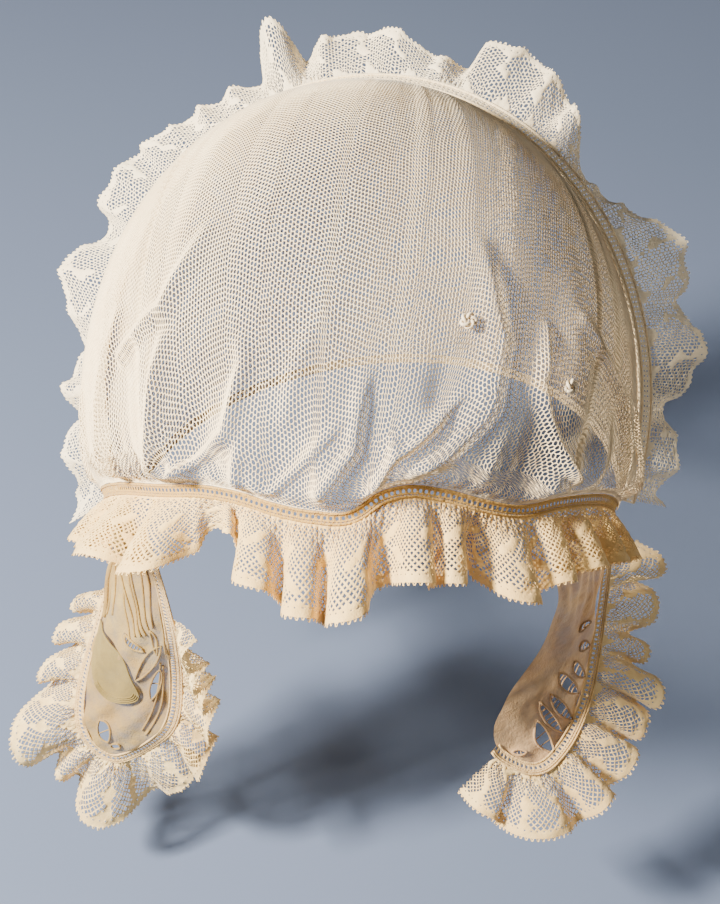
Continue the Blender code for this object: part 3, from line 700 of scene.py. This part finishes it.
def flat_area(points, faces):
    """Signed area of faces on the flat cloth."""
    x, y = points[faces, 0], points[faces, 1]
    return ((x * np.roll(y, -1, 1) - np.roll(x, -1, 1) * y).sum(1)) / 2


def net_cell(across, down):
    """Corners of a net cell: six sides, two of them shared with its own column."""
    b, h = NET_BRIDGE * across / 2, down / 2
    side = across - b
    return np.array([(side, 0), (b, h), (-b, h), (-side, 0), (-b, -h), (b, -h)])


def mesh_cell(across, down):
    """Corners of a square mesh cell that stands on its corner."""
    return np.array([(across, 0), (0, down / 2), (-across, 0), (0, -down / 2)])


def staggered(first, last, deep, cell):
    """Centres of cells in numbered columns, each column half a cell lower than the last."""
    across, down = cell
    i, j = np.meshgrid(np.arange(first, last), np.arange(0, int(deep / down) + 2), indexing="ij")
    return np.stack([(i + 0.5) * across, (j + 0.5 * (i % 2)) * down], -1).reshape(-1, 2)


def opened(pattern, middle, outer):
    """How far each cell's hole reaches towards its corners, where closed work may cover it."""
    here, there = pattern(*middle.T), pattern(outer[..., 0], outer[..., 1])
    reach = np.where(there < 0, here[:, None] / np.maximum(here[:, None] - there, 1e-6), 1.0)
    return np.where(here[:, None] < 0.15, 0.0, clipped(reach))


def unevenness(p):
    """A small shift of each crossing of threads, the same for every cell that shares it."""
    x, y = p[..., 0], p[..., 1]
    return np.stack([np.sin(17.3 * x + 5.1 * y), np.cos(13.7 * x - 9.2 * y)], -1)


def lace(name, surface, centres, corners, hole, side=1, limit=None, loose=0.0, pattern=None,
         pins=None):
    """Lace on a surface: each cell is a rim of thread round its hole, or closed cloth work.

    corners and hole are a cell's shape and the share of it that is open; side turns the right side
    outwards; limit keeps points on the cloth; loose is how far the threads stray; pattern is above
    0 where the lace is open and below 0 in closed work; pins picks the cells that are pinholes.
    """
    outer = centres[:, None] + corners
    if limit:
        outer = limit(outer + loose * unevenness(outer))
    middle = outer.mean(1)
    reach = opened(pattern, middle, outer) if pattern else np.ones(outer.shape[:2])
    if pins:
        reach[pins(middle)] = PIN_HOLE
    inner = middle[:, None] + (outer - middle[:, None]) * reach[..., None] * hole
    flat, index = np.unique(np.round(outer.reshape(-1, 2), 3), axis=0, return_inverse=True)
    index = index.reshape(outer.shape[:2])
    holes = len(flat) + np.arange(index.size).reshape(index.shape)
    places = np.concatenate([flat, inner.reshape(-1, 2)])
    back = surface(*flat.T) + facing(surface, *flat.T) * side * THREAD_HIGH
    low = surface(*places[len(flat):].T)
    closed = reach.max(1) < 0.1
    rims = np.stack([index, np.roll(index, -1, 1), np.roll(holes, -1, 1), holes], -1)
    groups = [rims[~closed].reshape(-1, 4), index[closed]]
    groups = [g[flat_area(places, g) > 1e-3][:, ::side] for g in groups]
    return mesh_from(name, np.concatenate([back, low]), groups, places)


def evenly(long, period):
    """Places spread evenly along a length, about one period apart."""
    count = round(long / period)
    return (np.arange(count) + 0.5) * long / count


def row_of_cells(long, start, deep, period):
    """Centres and eight-cornered cells of one row along a band."""
    x = evenly(long, period)
    square = np.array([(1, 0), (1, 1), (0, 1), (-1, 1), (-1, 0), (-1, -1), (0, -1), (1, -1)]) / 2
    centres = np.stack([x, np.full(len(x), start + deep / 2)], -1)
    return centres, np.tile(square * (long / len(x), deep), (len(x), 1, 1))


def beading(name, surface, long, rows, side):
    """A band of closed work with rows of holes."""
    centres, corners, holes, start = [], [], [], 0.0
    oval = np.array([(1, 1), (0.8, 0.8)] * 4)
    for deep, period, wide, high in rows:
        middle, corner = row_of_cells(long, start, deep, period)
        centres.append(middle)
        corners.append(corner)
        holes.append(np.tile(oval * (wide, high), (len(middle), 1, 1)))
        start += deep
    return lace(name, surface, *map(np.concatenate, (centres, corners, holes)), side)


def joined(name, pieces):
    """One piece from several."""
    bpy.ops.object.select_all(action="DESELECT")
    for piece in pieces:
        piece.select_set(True)
    bpy.context.view_layer.objects.active = pieces[0]
    bpy.ops.object.join()
    pieces[0].name = pieces[0].data.name = name
    return pieces[0]


def tube(name, path, radius, sides=6):
    """A round thread along a path of points."""
    along = unit(np.gradient(path, axis=0))
    first = unit(np.cross(along, unit(np.array([0.31, 0.52, 0.79]))))
    second = np.cross(along, first)
    angle = np.arange(sides) * 2 * np.pi / sides
    ring = np.cos(angle)[:, None, None] * first + np.sin(angle)[:, None, None] * second
    points = (path + radius * ring).transpose(1, 0, 2)
    index = np.arange(len(path) * sides).reshape(len(path), sides)
    turned = np.roll(index, -1, 1)
    walls = np.stack([index[:-1], turned[:-1], turned[1:], index[1:]], -1).reshape(-1, 4)
    ends = [index[:1, ::-1], index[-1:]]
    flat = np.stack(np.broadcast_arrays(walked(path)[:, None], np.arange(sides) * radius), -1)
    return mesh_from(name, points.reshape(-1, 3), [walls, *ends], flat.reshape(-1, 2))


def cord(name, surface, long, across, radius, side):
    """A cord that lies along a surface at one distance across it."""
    s = np.linspace(0.3, long - 0.3, int(long / 1.2))
    d = np.full_like(s, across)
    return tube(name, surface(s, d) + facing(surface, s, d) * side * 0.25, radius)


# ---- materials

class Signal:
    """A value in a material's node tree; it adds and multiplies like a number."""

    def __init__(self, tree, socket):
        self.tree, self.socket = tree, socket

    def math(self, operation, *values):
        return self.tree.node("ShaderNodeMath", {"operation": operation}, dict(enumerate(values)))

    def __add__(self, other):
        return self.math("ADD", self, other)

    def __sub__(self, other):
        return self.math("SUBTRACT", self, other)

    def __rsub__(self, other):
        return self.math("SUBTRACT", other, self)

    def __mul__(self, other):
        return self.math("MULTIPLY", self, other)

    def kept(self):
        """The value held between 0 and 1."""
        return self.math("MINIMUM", self.math("MAXIMUM", self, 0.0), 1.0)

    __radd__, __rmul__ = __add__, __mul__


class Tree:
    """The nodes of one material."""

    def __init__(self, name):
        self.material = bpy.data.materials.new(name)
        self.material.use_nodes = True
        self.all = self.material.node_tree
        self.all.nodes.clear()

    def node(self, kind, settings, values, output=0):
        """A new node, its settings set first, then its sockets' values or links."""
        made = self.all.nodes.new(kind)
        for key, value in settings.items():
            setattr(made, key, value)
        for key, value in values.items():
            if isinstance(value, Signal):
                self.all.links.new(value.socket, made.inputs[key])
            else:
                made.inputs[key].default_value = value
        return Signal(self, made.outputs[output]) if made.outputs else None

    def mix(self, factor, a, b):
        """A colour between two colours."""
        a, b = (x if isinstance(x, Signal) else (*x, 1.0) for x in (a, b))
        return self.node("ShaderNodeMix", {"data_type": "RGBA"}, {0: factor, 6: a, 7: b}, 2)

    def blend(self, factor, a, b):
        """A shader between two shaders."""
        return self.node("ShaderNodeMixShader", {}, {0: factor, 1: a, 2: b})

    def noise(self, place, scale, detail=3.0):
        return self.node("ShaderNodeTexNoise", {}, {"Vector": place, "Scale": scale, "Detail": detail})


def thread_cloth(name, fresh, aged_and_shade_colour, aging, see_through, weave, sheer=0.0):
    """Cotton that ages in patches and stains and turns browner low down; painted shade browns it towards
    the right, away from the key lamp.

    see_through is the share of light that passes, weave the height of the fibres, and sheer how
    clear the cloth's thinnest places are.
    """
    tree = Tree(name)
    place = tree.node("ShaderNodeTexCoord", {}, {}, "Object")
    x, z = (tree.node("ShaderNodeSeparateXYZ", {}, {0: place}, k) for k in (0, 2))
    patches = tree.noise(place, 38.0)
    specks = tree.noise(place, 420.0, 2.0)
    # right rises towards +x, away from the key lamp on the left: painted shade on the cloth's right side.
    right = (x * 9.0 + 0.25).kept()
    low = (z * -7.0 - 0.55).kept()
    stains = tree.noise(place, 120.0) * 0.8 - 0.4
    # Real ageing from patches, stains and specks, plus painted shade on the right and a browning low down.
    age_and_shade_sum = patches * 1.6 - 0.62 + aging + stains + right * 0.42 + low * 0.18 + specks * 0.25
    age_and_shade, spotted = age_and_shade_sum.kept(), (specks * 1.8 - 0.75).kept() * 0.35
    dark = [c * 0.72 for c in aged_and_shade_colour]
    colour = tree.mix(spotted, tree.mix(age_and_shade, fresh, aged_and_shade_colour), dark)
    fibre = tree.noise(place, 1900.0, 2.0) * 0.6 + tree.noise(place, 480.0) * weave
    normal = tree.node("ShaderNodeBump", {}, {"Strength": weave, "Distance": 0.0004, "Height": fibre})
    face = tree.node("ShaderNodeBsdfPrincipled", {}, {
        "Base Color": colour, "Roughness": 0.88, "Sheen Weight": 0.25, "Sheen Roughness": 0.5,
        "Specular IOR Level": 0.25, "Normal": normal})
    new_glow, age_and_shade_glow, dark_glow = (
        tree.node("ShaderNodeBsdfTranslucent", {}, {"Color": (*c, 1.0), "Normal": normal})
        for c in (fresh, aged_and_shade_colour, dark))
    glow = tree.blend(spotted, tree.blend(age_and_shade, new_glow, age_and_shade_glow), dark_glow)
    cloth = tree.blend(see_through, face, glow)
    if sheer:
        thin = (tree.noise(place, 190.0, 5.0) * 3.0 - 1.1).kept() * sheer
        cloth = tree.blend(thin, cloth, tree.node("ShaderNodeBsdfTransparent", {}, {}))
    tree.node("ShaderNodeOutputMaterial", {}, {"Surface": cloth})
    return tree.material


def plain_floor():
    """Pale blue-grey paint with a faint change of tone."""
    tree = Tree("plain_floor")
    place = tree.node("ShaderNodeTexCoord", {}, {}, "Object")
    tone = tree.noise(place, 3.0, 2.0)
    colour = tree.mix(tone, (0.096, 0.127, 0.210), (0.108, 0.140, 0.225))
    face = tree.node("ShaderNodeBsdfPrincipled", {}, {"Base Color": colour, "Roughness": 0.9})
    tree.node("ShaderNodeOutputMaterial", {}, {"Surface": face})
    return tree.material


# Cloth of each kind: fresh colour, the colour it takes where aged and where shade is painted on the right,
# how aged it is, how much light comes through, how strong its weave is, and for sheer cloth how clear its
# thinnest places are.
LOOKS = {
    "net_thread": ((0.93, 0.77, 0.50), (0.82, 0.62, 0.37), 0.02, 0.08, 0.35),
    # The back net's thread is painted darker than the front net, as shade inside the cap; it stays that
    # dark seen from behind.
    "back_thread_painted_shade": ((0.48, 0.37, 0.23), (0.38, 0.27, 0.14), 0.05, 0.04, 0.35),
    # The hem's thread is painted dark like the back net, as shade inside the cap.
    "hem_thread_painted_shade": ((0.42, 0.32, 0.20), (0.36, 0.26, 0.14), 0.05, 0.05, 0.6),
    # band_thread and seam_thread have second colours a little lighter than their first, so towards the
    # right, where the lamp leaves the bands in shade, they get a faint painted light.
    "band_thread": ((0.52, 0.31, 0.07), (0.54, 0.32, 0.09), 0.06, 0.06, 1.5),
    "seam_thread": ((0.93, 0.75, 0.46), (0.94, 0.77, 0.50), 0.02, 0.14, 1.2),
    "edge_thread": ((0.78, 0.55, 0.25), (0.66, 0.43, 0.18), 0.02, 0.12, 1.2),
    "frill_thread": ((0.95, 0.75, 0.38), (0.78, 0.53, 0.22), 0.03, 0.17, 0.5),
    "front_thread": ((0.92, 0.66, 0.28), (0.78, 0.50, 0.18), 0.03, 0.15, 0.6),
    "crown_thread": ((0.98, 0.86, 0.62), (0.96, 0.80, 0.54), -0.02, 0.20, 0.5),
    "lappet_work": ((0.54, 0.38, 0.12), (0.38, 0.23, 0.08), 0.12, 0.25, 0.9, 0.40),
    "blush_work": ((0.80, 0.54, 0.28), (0.42, 0.24, 0.10), 0.0, 0.30, 0.9, 0.24),
    "fold_work": ((0.34, 0.26, 0.09), (0.28, 0.20, 0.06), 0.20, 0.25, 0.6, 0.20),
    "knot_thread": ((0.98, 0.90, 0.72), (0.80, 0.62, 0.38), 0.0, 0.10, 0.5),
}
CLOTHS = {name: thread_cloth(name, *look) for name, look in LOOKS.items()}


def worn(piece, cloth, node=None):
    """Gives a piece its material and its place in the frame."""
    piece.data.materials.clear()
    piece.data.materials.append(CLOTHS[cloth])
    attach(piece, "root")
    if node:
        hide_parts(node)
    return piece


def declare(piece, wide, deep, held, extra=()):
    """Works out a lace piece's flat size and the area of its threads, without the holes; the values are
    not used further.
    """
    area = sum(p.area for p in piece.data.polygons)
    flat = (wide * MM, deep * MM)
    threads = min(max(area / 1.15, 0.3 * flat[0] * flat[1]), flat[0] * flat[1])


# ---- the crown

def net_panel(name, drape, cell, hole, parts, cloth, node, extra=()):
    """Net on a panel, made in a few pieces side by side so that none is too heavy."""
    def swayed(c, d):
        sway = 0.5 * np.sin(d / 13 + c / 19) + 0.25 * np.sin(d / 5.3 - c / 7.7)
        left_over = np.interp(c, drape.end_c, drape.end_d) - d
        return drape(c + sway * clipped(d / 6) * clipped(left_over / 6), d)
    columns = 2 * int(drape.half / cell[0] / 2 + 1)
    every = staggered(-columns, columns, drape.deep, cell)
    every = every[np.abs(drape.limit(every) - every).max(1) < 0.5 * max(cell)]
    ragged = every[:, 0] / drape.half + 0.02 * np.sin(every[:, 1] * 5.3)
    part = np.clip((ragged + 1) / 2 * parts, 0, parts - 1).astype(int)
    for k in range(parts):
        piece = lace(f"{name}_{k + 1}", swayed, every[part == k], net_cell(*cell), hole,
                     limit=drape.limit, loose=0.05)
        first = k == 0
        worn(piece, cloth, node if first else None)
        declare(piece, 2 * drape.half / parts, drape.deep, "gathered", extra if first else ())


def crown_net():
    """The front net, from the front band up to the crown seam."""
    net_panel("net_front", Drape(front_net, 0.80), NET_CELL, NET_HOLE, 3, "net_thread", "crown_net")


def back_of_crown():
    """The back net, from the crown seam down to the nape, and its hem, both in thread painted dark as
    shade inside the cap.
    """
    hem = band("hem_nape", HEM_EDGE, (0.03, 0.97), 0.0, GAP, WALL / 2, HEM_BEADS, "hem_thread_painted_shade",
               "nape_hem")
    net_panel("net_back", Drape(back_net, 1.0, 0.85), BACK_CELL, BACK_HOLE, 2, "back_thread_painted_shade",
              "back_net", [hem])


# ---- bands, ruffles and lappets

def band(name, edge, ends, rise, start, high, beads, cloth, node, side=1):
    """A beading band along an edge, between two shares of its length, with its cords."""
    rows, cords = beads
    line = band_at(edge, rise, start, high)
    share = np.linspace(*ends, DENSE)
    walk = walked(line(share, np.full_like(share, 1.0)))

    def surface(s, d):
        return line(np.interp(s, walk, share), d)
    long = walk[-1]
    pieces = [beading(name, surface, long, rows, side)]
    pieces += [cord(f"{name}_cord", surface, long, at, radius, side) for at, radius in cords]
    return worn(joined(name, pieces), cloth, node)


def picots(name, surface, long, deep, side):
    """Little loops along a free edge."""
    s = evenly(long, PICOT_PERIOD)
    loop = np.array([(0.55, -0.5), (0.22, 0.5), (-0.22, 0.5), (-0.55, -0.5)])
    centres = np.stack([s, deep + 0.3 + 0.15 * np.sin(2.3 * s)], -1)
    return lace(name, surface, centres, loop, np.array((0.35, 0.4)), side)


def ellipses(s, d, period, middle, wide, high, shift=0.0):
    """How deep a point is inside a row of ovals; below 0 outside them."""
    x = (s / period + shift) % 1.0 - 0.5
    r = np.hypot(x * period / wide, (d - middle) / high)
    return (1 - r) * min(wide, high)


def spotted(deep):
    """Open mesh with closed leaves in a staggered order and a closed border."""
    def pattern(s, d):
        leaves = np.maximum(ellipses(s + 1.3 * d, d, 19.0, 0.40 * deep, 2.0, 3.0),
                            ellipses(s - 1.1 * d, d, 19.0, 0.68 * deep, 1.8, 2.6, 0.4))
        wave = 0.8 * np.abs(np.sin(np.pi * s / 9.5))
        return np.minimum(np.minimum(-leaves, deep - 2.3 - wave - d), d - 0.5)
    return pattern


def vined(deep, period=12.0, big=1.0):
    """Uneven patches of mesh in two rows, with winding closed stems between them."""
    def pattern(s, d):
        x = s + 1.1 * np.sin(d / 2.9 + s / 6.1)
        y = d + 0.9 * np.sin(s / 3.3) + 0.6 * np.sin(s / 1.9 + d)
        near = ellipses(x + 0.5 * d, y, period, 0.30 * deep, 5.9 * big, 5.9 * big)
        far = ellipses(x, y, period, 0.71 * deep, 5.6 * big, 4.7 * big, 0.5)
        return np.minimum(np.maximum(near, far), deep - 1.9 - d)
    return pattern


# Grounds of the ruffles: shape of a cell, distance between cells, share of a cell that is open, and
# how far the threads stray.
FRONT_GROUND = (mesh_cell, MESH_CELL, 0.59, 0.14)
LAPPET_GROUND = (mesh_cell, MESH_CELL, 0.72, 0.14)
CROWN_GROUND = (net_cell, CROWN_CELL, 0.71, 0.06)


def ruffle_lace(name, ruffle, pattern, ground, cloth, node, side=1, extra=()):
    """A gathered ruffle: mesh ground, closed work, pinholes near its border, and picots."""
    shape, cell, hole, loose = ground
    deep = ruffle.deep
    pin_row = round((deep - 1.3) / cell[1]) * cell[1]

    def limit(p):
        return np.stack([np.clip(p[..., 0], 0, ruffle.long), np.clip(p[..., 1], 0, deep)], -1)

    def pins(middle):
        return np.abs(middle[:, 1] - pin_row) < 0.3

    centres = staggered(0, round(ruffle.long / cell[0]), deep, cell)
    centres = centres[centres[:, 1] < deep + 0.9]
    mesh = lace(name, ruffle, centres, shape(*cell), hole, side, limit, loose, pattern, pins)
    loops = picots(f"{name}_picots", ruffle, ruffle.long, deep, side)
    piece = worn(joined(name, [mesh, loops]), cloth, node)
    declare(piece, ruffle.long, deep, "gathered", extra)


def front_of_cap():
    """The band and the ruffle below the front net."""
    beads = band("band_front", FRONT_EDGE, (0.004, 0.996), 0.0, GAP, WALL / 2, FRONT_BEADS,
                 "band_thread", "front_band", side=-1)
    ruffle = Ruffle(FRONT_HANG, flutes, FRONT_FLUTES, FRONT_FRILL_DEEP, FRONT_BAND_WIDE + GAP,
                    WALL / 2, FRONT_FRILL_RISE, 2.0, sweep=-10.0)
    ruffle_lace("ruffle_front", ruffle, spotted(FRONT_FRILL_DEEP), FRONT_GROUND, "front_thread",
                "front_frill", -1, [beads])


def crown_of_cap():
    """The band that stands off the dome along the crown seam, and the ruffle behind it."""
    def from_seam(across):
        way = np.array([np.cos(CROWN_BAND_RISE), np.sin(CROWN_BAND_RISE)])
        return np.array([2 * GAP, WALL + CROWN_BAND_OFF]) + across * way
    turned_in = CROWN_BEADS[0][0][0]
    beads = band("band_crown", CROWN_EDGE, (0.01, 0.99), CROWN_BAND_RISE, *from_seam(-turned_in),
                 CROWN_BEADS, "seam_thread", "crown_band")
    ruffle = Ruffle(CROWN_EDGE, uneven, CROWN_FOLDS, CROWN_FRILL_DEEP,
                    *from_seam(CROWN_BAND_WIDE + 2 * GAP), CROWN_FRILL_RISE, 0.0)
    ruffle_lace("ruffle_crown", ruffle, vined(CROWN_FRILL_DEEP, 15.0, 1.30), CROWN_GROUND,
                "crown_thread", "crown_frill", extra=[beads])


def leaf(x0, y0, x1, y1, wide):
    """Outline of a slot with two rounded points, on a lappet's flat cloth."""
    t = np.linspace(0, 1, 8, endpoint=False)
    start, end = np.array((x0, y0)) * LAPPET_SIZE, np.array((x1, y1)) * LAPPET_SIZE
    way = (end - start) / np.linalg.norm(end - start)
    across = np.array((-way[1], way[0])) * wide / 2
    side = np.sin(np.pi * t)[:, None] ** 0.75 * across
    there, back = start + t[:, None] * (end - start), end - t[:, None] * (end - start)
    return np.concatenate([there + side, back - side])


def inside(point, loop):
    """Whether points are inside a closed loop."""
    x, y = point[:, 0][:, None], point[:, 1][:, None]
    (ax, ay), (bx, by) = loop.T, np.roll(loop, -1, 0).T
    crosses = (ay > y) != (by > y)
    reach = ax + (y - ay) / np.where(by == ay, 1e-9, by - ay) * (bx - ax)
    return (crosses & (x < reach)).sum(1) % 2 == 1


def nearness(point, loop):
    """Distance from points to the nearest corner of a loop."""
    return np.linalg.norm(point[:, None] - loop[None], axis=2).min(1)


def pierced(name, place, outline, slots=()):
    """Closed cloth work with slots cut in it, made on the flat and laid on a surface."""
    low, high = outline.min(0), outline.max(0)
    across, down = (np.arange(a, b, CLOTH_STEP) for a, b in zip(low, high))
    grid = np.stack(np.meshgrid(across, down), -1)
    grid[::2, :, 0] += CLOTH_STEP / 2
    grid = grid.reshape(-1, 2)
    loops = [outline, *slots]
    keep = inside(grid, outline) & ~np.any([inside(grid, slot) for slot in loops[1:]], axis=0)
    keep &= np.min([nearness(grid, loop) for loop in loops], axis=0) > CLOTH_STEP * 0.6
    points = np.concatenate([*loops, grid[keep]])
    edges, first = [], 0
    for loop in loops:
        index = first + np.arange(len(loop))
        edges += list(zip(index.tolist(), np.roll(index, -1).tolist()))
        first += len(loop)
    made = geometry.delaunay_2d_cdt([Vector(p) for p in points], edges, [], 0, 1e-5)
    flat = np.array([p[:] for p in made[0]])
    faces = np.array([f for f in made[2] if len(f) == 3])
    centre = flat[faces].mean(1)
    keep = inside(centre, outline) & ~np.any([inside(centre, slot) for slot in loops[1:]], axis=0)
    return mesh_from(name, place(flat), [faces[keep]], flat)


def curve(points, places):
    """A smooth curve through places on a lappet's flat cloth, read by their numbers."""
    table = np.column_stack([np.arange(len(points)), np.array(points) * LAPPET_SIZE])
    return through(table, places)


def lappet_cloth(side, one, slots, cords, cloth, extra):
    """The body of a lappet: closed work with raised edges and bars at its slots, and cords."""
    loops = [leaf(*slot[:5]) for slot in slots]
    bars = [slot[5] for slot in slots]

    def place(flat, lift=0.0):
        near = sum(bump(nearness(flat, loop), 1.1) for loop in loops)
        swell = 0.35 * np.sin(flat[:, 0] / 4.3 + np.sin(flat[:, 1] / 6.1) * 2)
        swell = swell + 0.25 * np.sin(flat[:, 1] / 3.1 + flat[:, 0] / 4.7)
        return one.on(flat, lift + 0.35 * near + swell)
    outline = np.stack(one.outline(np.linspace(0.004, 0.996, 170)), -1) * LAPPET_SIZE
    holes = [loop for loop, count in zip(loops, bars) if count >= 0]
    pieces = [pierced(f"lappet_{side}_work", place, outline, holes)]
    for loop, count in zip(loops, bars):
        ring = np.concatenate([loop, loop[:2]])
        pieces.append(tube("rim", place(ring, 0.2), RIM, 5))
        for k in range(count):
            at = round((k + 1) * len(loop) / 2 / (count + 1))
            bar = np.linspace(loop[at], loop[-at], 4)
            pieces.append(tube("bar", place(bar, 0.1), BAR, 4))
    for radius, *points in cords:
        line = curve(points, np.linspace(0, len(points) - 1, 30))
        pieces.append(tube("cord", place(line, 0.4 * radius + 0.1), radius))
    piece = worn(joined(f"lappet_cloth_{side}", pieces), cloth, f"lappet_{side}")
    declare(piece, 2 * LAPPET_SIZE[0], LAPPET_SIZE[1], "hung", extra)


def folded_corner(one):
    """The corner of cloth that lies folded over the left lappet, with lines of its hem."""
    def place(flat, lift=0.0):
        return one.on(flat, 1.0 + 0.5 * np.sin(flat[:, 0] / 5 + flat[:, 1] / 9) + lift)
    per_side, last_free, last_hemmed = 5, 5, 8
    outline = curve([*FOLD, FOLD[0]], np.arange(0, len(FOLD), 1 / per_side))
    middle = outline.mean(0)
    free = outline[:last_free * per_side + 1]
    hemmed = outline[last_free * per_side:last_hemmed * per_side + 1]
    pieces = [pierced("folded", place, outline)]
    pieces.append(tube("folded_edge", place(free), 0.3, 5))
    for share in (0.99, 0.94, 0.89, 0.84):
        hem = middle + (hemmed - middle) * share
        pieces.append(tube("folded_hem", place(hem, 0.1), 0.24, 5))
    piece = worn(joined("folded_corner", pieces), "fold_work")
    declare(piece, *FOLD_SIZE, "folded")


def lappet(side, sections, end, fluting, rise, tilt, band_end, ruffle_end, slots, cords, work):
    """A lappet with its band and its ruffle, and the left one with its folded corner."""
    one = Lappet(sections, end)
    beads = band(f"band_lappet_{side}", one.edge(0.03, band_end), (0.0, 1.0), tilt, -0.8, 0.3,
                 LAPPET_BEADS, "edge_thread", f"lappet_band_{side}")
    lappet_cloth(side, one, slots, cords, work, [beads])
    start = LAPPET_BAND_WIDE - 1.0
    ruffle = Ruffle(one.edge(0.12, ruffle_end), flutes, fluting, LAPPET_FRILL_DEEP,
                    start * np.cos(tilt), start * np.sin(tilt), rise, 4.0, 0.0, 1.0)
    ruffle_lace(f"ruffle_lappet_{side}", ruffle, vined(LAPPET_FRILL_DEEP), LAPPET_GROUND,
                "frill_thread", f"lappet_frill_{side}")
    if side == "left":
        folded_corner(one)


def knots():
    """Two little knots of twisted thread that lie on the net."""
    turn = np.linspace(0, 2 * np.pi, 70)
    for k, (place, up, size) in enumerate(KNOTS, 1):
        on = front_net(np.array([place]), np.array([up]))[0]
        out = unit(on / HALF ** 2)
        on = on + out * 1.2
        side = unit(np.cross(out, (0.0, 0.0, 1.0)))
        up_way = np.cross(out, side)
        wide = (1 + 0.42 * np.cos(5 * turn)) * size * 0.36
        coil = (np.outer(wide * np.cos(2 * turn), side) + np.outer(wide * np.sin(2 * turn), up_way) * 0.8
                + np.outer(0.8 + 0.55 * np.sin(5 * turn), out))
        worn(tube(f"knot_{k}", on + coil, 0.46), "knot_thread", f"thread_knot_{k}")


# ---- light, floor and camera

def stage():
    """A plain floor under the cap."""
    bpy.ops.mesh.primitive_plane_add(size=14.0, location=(0.0, 2.0, -0.245))
    floor = bpy.context.object
    floor.name = "floor"
    floor.data.materials.append(plain_floor())


def lamp(name, place, size, power, colour):
    """A square lamp that points at the cap."""
    data = bpy.data.lights.new(name, "AREA")
    data.size, data.energy, data.color = size, power, colour
    made = put(name, data)
    made.location = place
    aim = Vector((0.0, 0.0, -0.09)) - made.location
    made.rotation_euler = aim.to_track_quat("-Z", "Y").to_euler()


def lights():
    """A small warm lamp high on the left, two soft ones, and a dim room."""
    lamp("key", (-0.65, -0.34, 0.52), 0.16, 58.0, (1.0, 0.93, 0.80))
    lamp("fill", (0.7, -1.4, 0.9), 1.0, 2.0, (1.0, 0.95, 0.90))
    lamp("side", (1.05, -0.25, 0.02), 0.5, 2.2, (1.0, 0.93, 0.82))
    world = bpy.data.worlds.new("soft_room")
    bpy.context.scene.world = world
    world.use_nodes = True
    sky = world.node_tree.nodes["Background"].inputs
    sky["Color"].default_value = (0.80, 0.87, 1.0, 1.0)
    sky["Strength"].default_value = 0.07


def camera():
    """Looks down on the cap from in front, as it is worn on a stand."""
    turn, height = np.radians(1.0), np.radians(42.0)
    distance, left_by, down_by = 650.0, 0.305, 18.911
    away = np.array([np.sin(turn) * np.cos(height), -np.cos(turn) * np.cos(height), np.sin(height)])
    right = np.array([np.cos(turn), np.sin(turn), 0.0])
    up = np.cross(away, right)
    eye = (CENTRE + away * distance - right * left_by - up * down_by) * MM
    data = bpy.data.cameras.new("camera")
    data.lens, data.sensor_width = 84.87, 36.0
    made = put("camera", data)
    axes = Matrix((right, up, away)).transposed().to_4x4()
    made.matrix_world = Matrix.Translation(eye) @ axes
    bpy.context.scene.camera = made


crown_net()
back_of_crown()
front_of_cap()
crown_of_cap()
for sizes in LAPPETS:
    lappet(**sizes)
knots()
stage()
lights()
camera()
